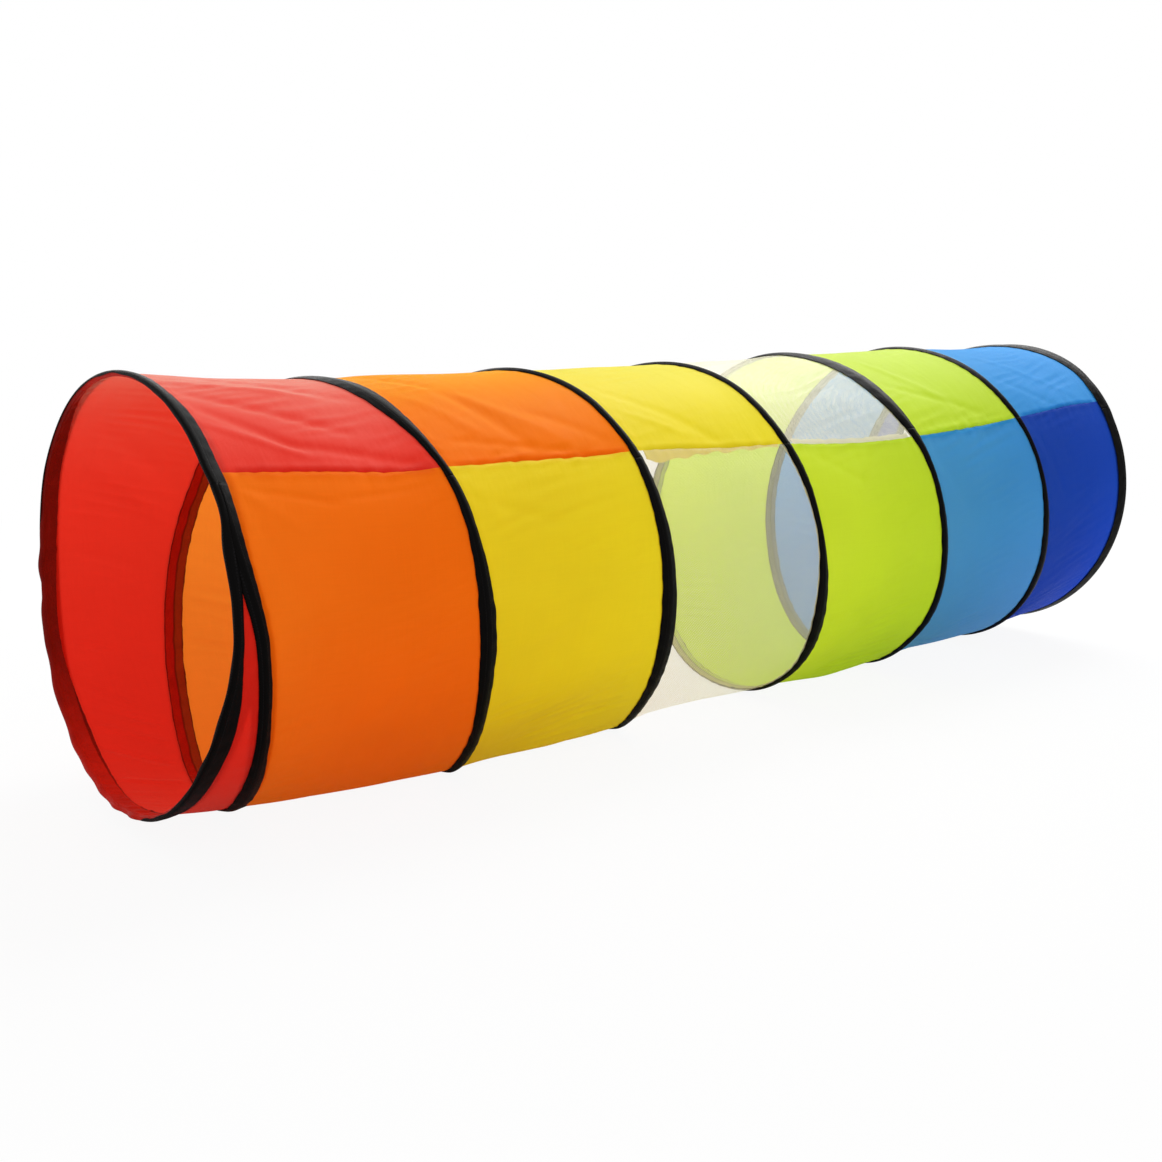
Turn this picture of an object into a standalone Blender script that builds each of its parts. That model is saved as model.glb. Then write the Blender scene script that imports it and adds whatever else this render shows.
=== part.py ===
"""Pop-up play tunnel: a sprung steel coil and two end hoops inside a sewn fabric skin.

X runs along the tunnel from the near end to the far end, -Y is the near side and +Z is up.
The origin is on the floor under the tunnel's middle. Lengths are metres, angles are degrees.
A turn angle is 0 at the lengthwise seam and grows down the near side, under the bottom,
up the far side and over the top. On the coil it counts on through all turns.
"""

import math

import bmesh
import bpy
from mathutils import Vector

# Overall sizes
TUNNEL_LENGTH = 1.65
TUNNEL_DIAMETER = 0.48
COIL_TURNS = 6
SEAM_ANGLE = 35.0  # of the lengthwise seam, above the near side's horizontal
CORNERS = 36  # in one turn of the skin and of the wire

# Spring wire and the ferrules that join the coil to the hoops
WIRE_DIAMETER = 0.003
WIRE_SIDES = 6
WIRE_GAP = 0.0005  # between a hoop's wire and the coil's end beside it
EASE_ANGLE = 30.0  # over which the coil takes up its pitch
FERRULE_INSET = 0.004
FERRULE_LENGTH = 0.020
FERRULE_WALL = 0.0008

# Black tape outside the wires, hems inside them, and the allowances of the lengthwise seam
TAPE_WIDTH = 0.022
TAPE_THICKNESS = 0.0008
TAPE_CROWN = 0.0044  # flat width of the tape over a wire
HEM_MARGIN = 0.001  # of a hem past the tape, on each side
HEM_WIDTH = TAPE_WIDTH + 2 * HEM_MARGIN
HEM_THICKNESS = 0.0008
ALLOWANCE_WIDTH = 0.012
ALLOWANCE_THICKNESS = 0.0008

# Fabric panels between the wires
PANEL_THICKNESS = 0.0006
PANEL_WAIST = 0.003  # how far a panel of one pitch is drawn in between its wires
PANEL_TIP = 0.003  # width at which a tapering panel ends
SEAT_MARGIN = 0.001  # of a panel's flat edge past the strips that hold it

CLEARANCE = 0.0003

# Colours, as red, green and blue of 255
BLACK = (24, 26, 28)
STEEL = (150, 152, 156)
PANELS = (
    ("red_panel", (228, 52, 36)),
    ("orange_panel", (240, 110, 22)),
    ("yellow_panel", (240, 215, 40)),
    ("mesh_panel", (240, 240, 232)),
    ("lime_panel", (188, 225, 45)),
    ("light_blue_panel", (66, 145, 212)),
    ("dark_blue_panel", (24, 62, 168)),
)
HEM_SHADE = 0.55  # of a panel's colour, on the hem that holds its far edge

# Radii and reaches that follow from the sizes above
WIRE_RADIUS = WIRE_DIAMETER / 2
WIRE_ROOM = WIRE_RADIUS + CLEARANCE
AXIS_HEIGHT = TUNNEL_DIAMETER / 2
WIRE_CENTRE = AXIS_HEIGHT - TAPE_THICKNESS - WIRE_ROOM
FERRULE_ROOM = FERRULE_WALL + CLEARANCE
END_ROOM = WIRE_ROOM + FERRULE_ROOM
END_REACH = END_ROOM + TAPE_THICKNESS
WIRE_SPAN = TUNNEL_LENGTH - 2 * END_REACH
PANEL_INSIDE = -WIRE_RADIUS
PANEL_OUTSIDE = PANEL_INSIDE + PANEL_THICKNESS
PANEL_EDGE = WIRE_ROOM
STRIP_HALF = HEM_WIDTH / 2
HOOP_STRIP_EDGE = HEM_WIDTH - END_REACH
OCTAGON_CUT = 2 - math.sqrt(2)  # of an octagon's corner, as a share of its inner radius

# Corners of the skin, with a flat between two of them at the very bottom
FULL_TURN = 360.0
CORNER_STEP = FULL_TURN / CORNERS
FIRST_CORNER = (SEAM_ANGLE + 90 - CORNER_STEP / 2) % CORNER_STEP
LEAST_STEP = 0.01
LEAST_FLAT = 0.0001
GAP_ANGLE = math.degrees(CLEARANCE / WIRE_CENTRE)

# Run of the coil, which starts and ends beside a hoop
COIL_RUN = COIL_TURNS * FULL_TURN
COIL_ASIDE = WIRE_DIAMETER + WIRE_GAP
COIL_RATE = (WIRE_SPAN - 2 * COIL_ASIDE) / (COIL_RUN - EASE_ANGLE)
PITCH = COIL_RATE * FULL_TURN
FERRULE_START = math.degrees(FERRULE_INSET / WIRE_CENTRE)
FERRULE_END = math.degrees((FERRULE_INSET + FERRULE_LENGTH) / WIRE_CENTRE)

NEAR = 1
FAR = -1


def clear_scene():
    for thing in list(bpy.data.objects):
        bpy.data.objects.remove(thing, do_unlink=True)


def linear(colour):
    """Return a colour of 255 as the linear values that a shader takes."""
    return tuple((part / 255) ** 2.2 for part in colour)


def make_material(name, colour, roughness, metallic=0.0, alpha=1.0):
    material = bpy.data.materials.new(name)
    material.use_nodes = True
    shader = material.node_tree.nodes["Principled BSDF"]
    shader.inputs["Base Color"].default_value = (*linear(colour), 1.0)
    shader.inputs["Roughness"].default_value = roughness
    shader.inputs["Metallic"].default_value = metallic
    shader.inputs["Alpha"].default_value = alpha
    material.diffuse_color = (*linear(colour), alpha)
    return material


def shaded(colour):
    return tuple(part * HEM_SHADE for part in colour)


# The skin is a prism with flat sides: a radius is measured to a side's middle

def facet_ratio(angle):
    from_middle = (angle - FIRST_CORNER) % CORNER_STEP - CORNER_STEP / 2
    return 1 / math.cos(math.radians(from_middle))


def place(side, along, height, angle):
    """Return the point at a height over the wire's centre line, along from one end's hoop."""
    below_level = math.radians(side * angle - SEAM_ANGLE)
    radius = (WIRE_CENTRE + height) * facet_ratio(side * angle)
    return Vector(
        (
            side * (along - WIRE_SPAN / 2),
            -radius * math.cos(below_level),
            AXIS_HEIGHT - radius * math.sin(below_level),
        )
    )


def first_corner(side):
    return (side * FIRST_CORNER) % CORNER_STEP


def stations(start, end, side=NEAR):
    """Return the angles of a strip's sections: its ends and the corners between them."""
    count = math.ceil((end - start) / CORNER_STEP) + 2
    corner = first_corner(side) + CORNER_STEP * math.floor((start - first_corner(side)) / CORNER_STEP)
    corners = [corner + CORNER_STEP * index for index in range(count)]
    inner = [angle for angle in corners if start + LEAST_STEP < angle < end - LEAST_STEP]
    return [start, *inner, end]


def ring_stations(extras, side):
    """Return the angles of a closed ring's sections, from the corner before the seam."""
    start = first_corner(side) - CORNER_STEP
    angles = [start + CORNER_STEP * index for index in range(CORNERS)]
    for extra in extras:
        if min(abs(extra - angle) for angle in angles) > LEAST_STEP:
            angles.append(extra)
    return sorted(angles)


# Way of the coil along the tunnel

def eased_way(angle):
    """Return how far the coil is past the near hoop, slow beside both hoops."""
    angle = min(max(angle, 0.0), COIL_RUN)
    if angle < EASE_ANGLE:
        turned = angle**2 / (2 * EASE_ANGLE)
    elif angle > COIL_RUN - EASE_ANGLE:
        turned = COIL_RUN - EASE_ANGLE - (COIL_RUN - angle) ** 2 / (2 * EASE_ANGLE)
    else:
        turned = angle - EASE_ANGLE / 2
    return COIL_ASIDE + COIL_RATE * turned


def coil_way(angle):
    """Return the same for any angle, straight from one corner to the next as the wire is."""
    corner = FIRST_CORNER + CORNER_STEP * math.floor((angle - FIRST_CORNER) / CORNER_STEP)
    share = (angle - corner) / CORNER_STEP
    return eased_way(corner) * (1 - share) + eased_way(corner + CORNER_STEP) * share


def coil_aside(angle, side):
    """Return how far the coil's end turn is from the hoop on its side."""
    if side == NEAR:
        return coil_way(angle)
    return WIRE_SPAN - coil_way(COIL_RUN - angle)


def angle_at(aside):
    """Return the angle at which the coil is this far from its hoop."""
    turned = (aside - COIL_ASIDE) / COIL_RATE
    if turned < EASE_ANGLE / 2:
        return math.sqrt(2 * EASE_ANGLE * turned)
    return turned + EASE_ANGLE / 2


PANEL_START = angle_at(2 * PANEL_EDGE + PANEL_TIP)


def border(width, aside):
    """Return where a hoop's strip meets the coil's, both of this width when there is room."""
    hoop_limit = width - END_REACH + CLEARANCE / 2
    return min(hoop_limit, aside * hoop_limit / (hoop_limit + CLEARANCE / 2 + width / 2))


def hoop_edge(width, side, angle):
    """Return the edge of a hoop's strip, narrower while the coil's strip lies beside it."""
    if angle < 0:
        return width - END_REACH
    return border(width, coil_aside(angle, side)) - CLEARANCE / 2


def coil_edges(width, angle):
    """Return how far a coil's strip reaches either way from its wire."""
    way = coil_way(angle)
    low = border(width, way) + CLEARANCE / 2 - way
    high = WIRE_SPAN - way - border(width, WIRE_SPAN - way) - CLEARANCE / 2
    return max(low, -width / 2), min(high, width / 2)


def ferrule_rise(angle):
    """Return how much further the strips stand off the wires, to pass the ferrule."""
    if 0 <= angle <= FERRULE_END + CORNER_STEP:
        return FERRULE_ROOM
    return 0.0


# Solids swept from one section to the next

def sweep(name, sections, material, closed=False):
    """Add a solid through sections of as many points each, capped unless it closes on itself."""
    mesh = bpy.data.meshes.new(name)
    solid = bmesh.new()
    rows = [[solid.verts.new(point) for point in section] for section in sections]
    pairs = list(zip(rows, rows[1:]))
    if closed:
        pairs.append((rows[-1], rows[0]))
    for row, after in pairs:
        for index in range(len(row)):
            following = (index + 1) % len(row)
            solid.faces.new((row[index], row[following], after[following], after[index]))
    if not closed:
        solid.faces.new(rows[0])
        solid.faces.new(rows[-1])
    bmesh.ops.recalc_face_normals(solid, faces=solid.faces)
    solid.to_mesh(mesh)
    solid.free()
    mesh.shade_smooth()
    mesh.set_sharp_from_angle(angle=math.radians(25))
    mesh.materials.append(material)
    thing = bpy.data.objects.new(name, mesh)
    bpy.context.collection.objects.link(thing)
    return thing


def wire_section(side, along, angle):
    points = []
    for index in range(WIRE_SIDES):
        turn = 2 * math.pi * (index + 0.5) / WIRE_SIDES
        height = WIRE_RADIUS * math.sin(turn)
        points.append(place(side, along + WIRE_RADIUS * math.cos(turn), height, angle))
    return points


def make_coil_wire(material):
    sections = [wire_section(NEAR, coil_way(angle), angle) for angle in stations(0, COIL_RUN)]
    sweep("coil_wire", sections, material)


def make_hoop_wire(name, side, material):
    sections = [wire_section(side, 0.0, angle) for angle in ring_stations([], side)]
    sweep(name, sections, material, closed=True)


def oval(side, aside, reach, angle):
    """Return an octagon, stretched to go round the hoop's wire and the coil's beside it."""
    short = reach * (1 - OCTAGON_CUT)
    outline = (
        (-reach, -short),
        (-reach, short),
        (-short, reach),
        (aside + short, reach),
        (aside + reach, short),
        (aside + reach, -short),
        (aside + short, -reach),
        (-short, -reach),
    )
    return [place(side, along, height, angle) for along, height in outline]


def make_ferrule(name, side, material):
    """Add the oval sleeve that is crimped over the coil's end and the hoop."""
    angles = stations(FERRULE_START, FERRULE_END, side)
    outer = [oval(side, coil_aside(angle, side), END_ROOM - CLEARANCE, angle) for angle in angles]
    inner = [oval(side, coil_aside(angle, side), WIRE_ROOM, angle) for angle in angles]
    sweep(name, [*outer, *reversed(inner)], material, closed=True)


def tape_height(across, full_edge):
    """Return the height of the tape's underside: its crown, or the slope down to its edge."""
    slope = (across - TAPE_CROWN / 2) / (full_edge - TAPE_CROWN / 2)
    brim = PANEL_OUTSIDE + CLEARANCE
    return min(WIRE_ROOM - LEAST_FLAT, WIRE_ROOM + (brim - WIRE_ROOM) * slope)


def coil_rise(angle):
    return ferrule_rise(angle) + ferrule_rise(COIL_RUN - angle)


def coil_tape_section(angle):
    """Return the black tape's section over the coil: a flat crown and two sloping sides."""
    low, high = coil_edges(TAPE_WIDTH, angle)
    half_crown = TAPE_CROWN / 2
    half_width = TAPE_WIDTH / 2
    under = (
        (low, tape_height(-low, half_width)),
        (max(-half_crown, low + LEAST_FLAT), WIRE_ROOM),
        (min(half_crown, high - LEAST_FLAT), WIRE_ROOM),
        (high, tape_height(high, half_width)),
    )
    over = [(across, height + TAPE_THICKNESS) for across, height in reversed(under)]
    way = coil_way(angle)
    rise = coil_rise(angle)
    return [place(NEAR, way + across, height + rise, angle) for across, height in (*under, *over)]


def make_coil_tape(turn, material):
    start = (turn - 1) * FULL_TURN + GAP_ANGLE / 2
    angles = stations(start, start + FULL_TURN - GAP_ANGLE)
    sweep(f"coil_binding_{turn}", [coil_tape_section(angle) for angle in angles], material)


def hoop_tape_section(side, angle):
    """Return the tape's section at a hoop, folded down over the end."""
    edge = hoop_edge(TAPE_WIDTH, side, angle)
    crown_edge = min(TAPE_CROWN / 2, edge - LEAST_FLAT)
    edge_height = tape_height(edge, TAPE_WIDTH - END_REACH)
    crown = WIRE_ROOM
    rise = ferrule_rise(angle)
    inner_cut = OCTAGON_CUT * WIRE_ROOM
    outer_cut = inner_cut + OCTAGON_CUT * TAPE_THICKNESS
    outline = (
        (-END_ROOM, PANEL_INSIDE - rise),
        (-END_ROOM, crown - inner_cut),
        (-END_ROOM + inner_cut, crown),
        (crown_edge, crown),
        (edge, edge_height),
        (edge, edge_height + TAPE_THICKNESS),
        (crown_edge, crown + TAPE_THICKNESS),
        (-END_REACH + outer_cut, crown + TAPE_THICKNESS),
        (-END_REACH, crown + TAPE_THICKNESS - outer_cut),
        (-END_REACH, PANEL_INSIDE - rise),
    )
    return [place(side, along, height + rise, angle) for along, height in outline]


def make_hoop_tape(name, side, material):
    angles = ring_stations((-GAP_ANGLE, 0.0), side)
    sweep(name, [hoop_tape_section(side, angle) for angle in angles], material, closed=True)


def hem_section(side, low, high, drop, angle):
    """Return a flat strip's section, just inside the wire and the panels' edges."""
    top = -WIRE_ROOM - drop
    outline = ((low, top - HEM_THICKNESS), (low, top), (high, top), (high, top - HEM_THICKNESS))
    return [place(side, along, height, angle) for along, height in outline]


def make_coil_hem(turn, material):
    start = (turn - 1) * FULL_TURN + GAP_ANGLE / 2
    sections = []
    for angle in stations(start, start + FULL_TURN - GAP_ANGLE):
        way = coil_way(angle)
        low, high = coil_edges(HEM_WIDTH, angle)
        sections.append(hem_section(NEAR, way + low, way + high, coil_rise(angle), angle))
    sweep(f"coil_hem_{turn}", sections, material)


def make_hoop_hem(name, side, material):
    sections = []
    for angle in ring_stations((-GAP_ANGLE, 0.0), side):
        edge = hoop_edge(HEM_WIDTH, side, angle)
        sections.append(hem_section(side, -END_REACH, edge, ferrule_rise(angle), angle))
    sweep(name, sections, material, closed=True)


# Panels, whose edges lie between tape and hem

def panel_columns(left, left_seat, right_seat, right):
    """Return (along, drop) of a panel's columns: flat in its seats, drawn in between them."""
    free_width = right_seat - left_seat
    if free_width <= 0:
        quarter = (right - left) / 4
        return [(left + quarter * index, 0.0) for index in range(5)]
    waist = PANEL_WAIST * (free_width / PITCH) ** 2
    middle = (left_seat + right_seat) / 2
    return [(left, 0.0), (left_seat, 0.0), (middle, waist), (right_seat, 0.0), (right, 0.0)]


def layer(side, columns, inside, thickness, angle):
    """Return the section of a sheet that follows the columns, from its inside face outwards."""
    under = [place(side, along, inside - drop, angle) for along, drop in columns]
    over = [place(side, along, inside + thickness - drop, angle) for along, drop in reversed(columns)]
    return [*under, *over]


def end_columns(side, angle):
    """Return the columns of the panel that widens from one end's hoop to the coil."""
    aside = coil_aside(angle, side)
    return panel_columns(
        PANEL_EDGE,
        HOOP_STRIP_EDGE + SEAT_MARGIN,
        aside - STRIP_HALF - SEAT_MARGIN,
        aside - PANEL_EDGE,
    )


def turn_columns(angle):
    """Return the columns of the panel between the coil at this angle and one turn on."""
    near_way = coil_way(angle)
    far_way = coil_way(angle + FULL_TURN)
    to_end = COIL_RUN - FULL_TURN - angle
    return panel_columns(
        near_way + PANEL_EDGE + ferrule_rise(angle),
        max(near_way + STRIP_HALF, HOOP_STRIP_EDGE) + SEAT_MARGIN,
        min(far_way - STRIP_HALF, WIRE_SPAN - HOOP_STRIP_EDGE) - SEAT_MARGIN,
        far_way - PANEL_EDGE - ferrule_rise(to_end),
    )


def make_end_panel(name, side, material):
    angles = stations(PANEL_START, FULL_TURN - GAP_ANGLE / 2, side)
    sections = [
        layer(side, end_columns(side, angle), PANEL_INSIDE, PANEL_THICKNESS, angle) for angle in angles
    ]
    sweep(name, sections, material)


def make_turn_panel(name, turn, material):
    start = (turn - 1) * FULL_TURN + GAP_ANGLE / 2
    sections = [
        layer(NEAR, turn_columns(angle), PANEL_INSIDE, PANEL_THICKNESS, angle)
        for angle in stations(start, start + FULL_TURN - GAP_ANGLE)
    ]
    sweep(name, sections, material)


def trimmed(columns, inset):
    """Return a panel's three free columns, the outer two moved in along the panel."""
    left, middle, right = columns[1:-1]
    share = inset / (middle[0] - left[0])
    drop = middle[1] * share
    return [(left[0] + inset, drop), middle, (right[0] - inset, drop)]


def make_allowance(number, material):
    """Add the turned-in edges of the seam that joins one panel's end to the next one's start."""
    seam = (number - 1) * FULL_TURN
    if number < COIL_TURNS:
        columns = turn_columns(seam)
    else:
        columns = [(WIRE_SPAN - along, drop) for along, drop in reversed(end_columns(FAR, FULL_TURN))]
    half_angle = math.degrees(ALLOWANCE_WIDTH / 2 / WIRE_CENTRE)
    columns = trimmed(columns, COIL_RATE * half_angle)
    inside = PANEL_INSIDE - CLEARANCE - ALLOWANCE_THICKNESS
    sections = [
        layer(NEAR, columns, inside, ALLOWANCE_THICKNESS, angle)
        for angle in stations(seam - half_angle, seam + half_angle)
    ]
    sweep(f"seam_allowance_{number}", sections, material)


def coil_gap():
    """Return the least gap between the coil's wire and the turn after it."""
    angles = stations(0, COIL_RUN)
    centres = [place(NEAR, coil_way(angle), 0.0, angle) for angle in angles]
    gaps = []
    for index, centre in enumerate(centres):
        for other in centres[index + CORNERS // 2 :]:
            gaps.append((other - centre).length - WIRE_DIAMETER)
    return min(gaps)


def build():
    clear_scene()
    steel = make_material("spring_steel", STEEL, 0.35, metallic=1.0)
    black = make_material("black_tape", BLACK, 0.6)
    fabrics = []
    hems = []
    for name, colour in PANELS:
        alpha = 0.35 if name == "mesh_panel" else 1.0
        fabrics.append(make_material(name, colour, 0.55, alpha=alpha))
        hems.append(make_material(f"{name}_hem", shaded(colour), 0.6))

    make_coil_wire(steel)
    for word, side, shade in (("near", NEAR, hems[0]), ("far", FAR, hems[-1])):
        make_hoop_wire(f"{word}_hoop_wire", side, steel)
        make_ferrule(f"{word}_ferrule", side, steel)
        make_hoop_tape(f"{word}_hoop_binding", side, black)
        make_hoop_hem(f"{word}_hoop_hem", side, shade)
    for turn in range(1, COIL_TURNS + 1):
        make_coil_tape(turn, black)
        make_coil_hem(turn, hems[turn - 1])
        make_allowance(turn, fabrics[turn - 1])

    make_end_panel(PANELS[0][0], NEAR, fabrics[0])
    for turn in range(1, COIL_TURNS):
        make_turn_panel(PANELS[turn][0], turn, fabrics[turn])
    make_end_panel(PANELS[-1][0], FAR, fabrics[-1])
    print(f"Least gap of the coil's wire to itself: {coil_gap() * 1000:.1f} mm")


build()
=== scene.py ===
"""Pop-up play tunnel, dressed: fabric panels, net, tapes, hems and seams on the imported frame.

X runs from the near end to the far end, -Y is the near side and +Z is up, in metres.
A turn angle is 0 at the lengthwise seam and grows down the near side, under the bottom
and up the far side, in degrees. On the coil it counts on through all six turns.
"""

import math
import random

import bpy
import numpy as np
from mathutils import Matrix, Vector


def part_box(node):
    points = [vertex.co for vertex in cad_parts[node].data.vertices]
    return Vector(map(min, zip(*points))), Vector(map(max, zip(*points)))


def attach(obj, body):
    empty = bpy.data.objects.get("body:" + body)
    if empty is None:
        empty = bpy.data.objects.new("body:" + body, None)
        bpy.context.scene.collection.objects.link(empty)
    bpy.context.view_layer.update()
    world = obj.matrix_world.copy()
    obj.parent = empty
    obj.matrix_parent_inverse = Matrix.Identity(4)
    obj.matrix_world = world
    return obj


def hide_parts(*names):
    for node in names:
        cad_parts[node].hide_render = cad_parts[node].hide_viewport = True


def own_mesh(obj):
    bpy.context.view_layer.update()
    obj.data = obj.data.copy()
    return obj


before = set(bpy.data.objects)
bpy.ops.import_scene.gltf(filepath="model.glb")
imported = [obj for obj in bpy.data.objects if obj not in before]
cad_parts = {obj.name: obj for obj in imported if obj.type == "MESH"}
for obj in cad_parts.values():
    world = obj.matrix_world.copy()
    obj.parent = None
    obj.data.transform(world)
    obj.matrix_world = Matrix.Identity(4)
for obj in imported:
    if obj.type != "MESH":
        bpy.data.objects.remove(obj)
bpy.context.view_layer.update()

# The tunnel's sizes, as its solids have them
near_low, near_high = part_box("near_hoop_wire")
far_low, far_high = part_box("far_hoop_wire")
tape_low, tape_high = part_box("near_hoop_binding")
NEAR_X = (near_low.x + near_high.x) / 2
FAR_X = (far_low.x + far_high.x) / 2
WIRE_SPAN = FAR_X - NEAR_X
AXIS_HEIGHT = (tape_low.z + tape_high.z) / 2
WIRE_RADIUS = 0.0015
WIRE_CENTRE = AXIS_HEIGHT - 0.0026
SEAM_ANGLE = 35.0
COIL_TURNS = 6
FULL_TURN = 360.0
COIL_RUN = COIL_TURNS * FULL_TURN
COIL_ASIDE = 0.0035
EASE_ANGLE = 30.0
COIL_RATE = (WIRE_SPAN - 2 * COIL_ASIDE) / (COIL_RUN - EASE_ANGLE)
PITCH = COIL_RATE * FULL_TURN
END_REACH = 0.0037
TAPE_WIDTH = 0.022
HEM_WIDTH = 0.024
TAPE_TOP = 0.0026
TAPE_BRIM = -0.0001
TAPE_THICKNESS = 0.0007
TAPE_FLAT = 0.0013
HEM_TOP = -0.0019
HEM_THICKNESS = 0.0006
PANEL_HEIGHT = -0.0012
PANEL_WAIST = 0.003
RED_SAG = 0.0015
RED_SAG_AT = (-55, 80)
PANEL_START = 24.0
PANEL_HELD = 0.012
FERRULE_RISE = 0.0014
FERRULE_END = 16.0
FERRULE_FADE = 8.0
FERRULE_LEAD = 6.0

PANELS = ("red", "orange", "yellow", "mesh", "lime", "light_blue", "dark_blue")


def smooth(share):
    share = np.clip(share, 0.0, 1.0)
    return share * share * (3 - 2 * share)


def past(spot, start, run):
    """Return 0 up to a start and 1 from a run past it on, smoothly."""
    return smooth((spot - start) / run)


def between(spot, start, rise, end, fall):
    """Return 1 between a start and an end and 0 outside them, with a smooth rise and fall."""
    return past(spot, start, rise) * smooth((end - spot) / fall)


def bump(angle, middle, half_width):
    """Return 1 at the middle angle and 0 from half_width on, smoothly."""
    return smooth(1 - np.abs(angle - middle) / half_width)


class Waves:
    """A smooth random field: many plane waves whose crests run mostly one way."""

    def __init__(self, seed, pitch, direction, spread, count=24):
        chooser = random.Random(seed)
        self.waves = []
        for _ in range(count):
            way = math.radians(chooser.gauss(direction, spread))
            length = pitch * chooser.uniform(0.65, 1.7)
            phase = chooser.uniform(0, 2 * math.pi)
            self.waves.append((math.cos(way) / length, math.sin(way) / length, phase))
        self.scale = math.sqrt(2 / count)

    def __call__(self, u, v):
        total = 0.0
        for along, across, phase in self.waves:
            total = total + np.cos(2 * math.pi * (u * along + v * across) + phase)
        return total * self.scale


# Places on the tunnel

def coil_way(angle):
    """Return how far the coil is past the near hoop's wire."""
    angle = np.clip(angle, 0.0, COIL_RUN)
    last = COIL_RUN - EASE_ANGLE
    starting = angle**2 / (2 * EASE_ANGLE)
    ending = last - (COIL_RUN - angle) ** 2 / (2 * EASE_ANGLE)
    turned = np.where(angle > last, ending, angle - EASE_ANGLE / 2)
    return COIL_ASIDE + COIL_RATE * np.where(angle < EASE_ANGLE, starting, turned)


def arc_at(angle):
    """Return how far round the tunnel a turn angle is, in metres."""
    return np.radians(angle) * WIRE_CENTRE


class Table:
    """A smooth curve through pairs of a place and thousandths, closed over a turn or open."""

    def __init__(self, pairs, end=FULL_TURN, blur=2.5, closed=False):
        self.closed = closed
        self.grid = np.arange(0.0, end + 1.0)
        angles, values = np.array(pairs, float).T
        period = FULL_TURN if closed else None
        lengths = np.interp(self.grid, angles, values / 1000, period=period)
        reach = int(4 * blur)
        kernel = np.exp(-0.5 * (np.arange(-reach, reach + 1) / blur) ** 2)
        if closed:
            padded = np.concatenate([lengths[-reach - 1 : -1], lengths, lengths[1 : reach + 1]])
        else:
            padded = np.pad(lengths, reach, mode="edge")
        self.lengths = np.convolve(padded, kernel / kernel.sum(), "valid")

    def __call__(self, angle):
        if self.closed:
            angle = angle % FULL_TURN
        return np.interp(angle, self.grid, self.lengths)


def along_coil(tables):
    """Join tables of single windings into one over the whole coil."""
    return [(turn * FULL_TURN + angle, size) for turn in tables for angle, size in tables[turn]]


# Turn angles at which a scratch script measured the windings' near sides and tops in the photo
MEASURED_ANGLES = (-45, -35, -25, -15, -5, 0, 5, 15, 25, 35, 45, 55, 65, 75, 85)


def winding(before, values, after):
    """Return a winding's pairs: one for each measured angle, with some before and after."""
    return (*before, *zip(MEASURED_ANGLES, values), *after)


# How the photographed tunnel stands off an even coil: pairs of degrees and millimetres

near_hoop_sway = Table((
    (-60, 2.5), (-29, 3.6), (-14, 3.9), (-4, 2.6), (3, 5), (6, 4.8), (9, 3.4), (12, 0.9), (15, -0.9),
    (20, -1.5), (28, 0.3), (36, -0.6), (41, -1.8), (46, -4.7), (51, -8.4), (56, -12), (62, -14.4),
    (66, -16.8), (73, -20), (80, -22), (95, -24), (110, -23), (125, -20), (140, -15), (152, -12),
    (167, -8), (177, -6), (188, -5), (200, -1.5), (216, 2), (230, 1.4), (245, 0), (258, 1), (282, 1),
), closed=True)
far_hoop_sway = Table((
    (-60, 5), (-40, 8), (-30, 9), (-20, 7), (-10, -1.8), (0, -6), (10, -9), (25, -11), (90, -11),
    (130, -6), (180, 0), (260, 2),
), closed=True)
coil_sway = Table(along_coil({
    0: (
        (0, 3.6), (10, 2.4), (20, 3.5), (30, 5.2), (37, 5.2), (42, 3.4), (48, 1.3), (58, -1.8),
        (72, -4.4), (91, -7), (120, -4), (140, 1), (155, 5), (172, 9), (196, 11.3), (206, 11.7),
        (223, 13.5), (240, 17), (280, 10),
    ),
    1: winding(
        ((-70, 8), (-55, 7.5)),
        (6.7, 6.1, 5.1, 8.1, 11, 11.7, 11.3, 7, 2.5, -1.2, -4, -6.7, -6.8, -3.2, 1.4),
        ((110, 8), (150, 0), (230, 0), (270, 6)),
    ),
    2: winding(
        ((-60, 12.5),),
        (13.3, 16.2, 17.3, 14.3, 14.1, 13.1, 10.5, 5.9, 1.6, -3.2, -6.6, -8.4, -9.2, -8.4, -6.8),
        ((110, 6), (150, 0), (230, 0), (270, 7)),
    ),
    3: winding(
        ((-60, 12),),
        (11.7, 11.3, 10.7, 6.5, 4.5, 4.8, 5.2, 5, 4.5, 5.2, 5.5, 7, 10.3, 14.2, 17.6),
        ((110, 12), (150, 8), (190, 13), (255, 13), (275, 5)),
    ),
    4: winding(
        ((-60, -13),),
        (-14.2, -12.5, -11.4, -10, -5.9, -3, 0, 1.2, 0.6, 0.3, 1.9, 5.1, 7.2, 7.5, 3),
        ((110, 6), (150, 8), (190, 26), (235, 27), (258, 21), (280, 6)),
    ),
    5: winding(
        ((-60, -9),),
        (-9, -7.1, -6.3, -6.7, -6.5, -3.8, -3.7, -4.5, -5.2, -6.5, -6.3, -1.5, 0.8, 2.8, 3.5),
        ((110, 5), (150, 0), (300, 2)),
    ),
    6: ((-40, 8), (-30, 9), (-20, 7), (-10, -1.8), (0, -6)),
}), COIL_RUN)
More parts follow.
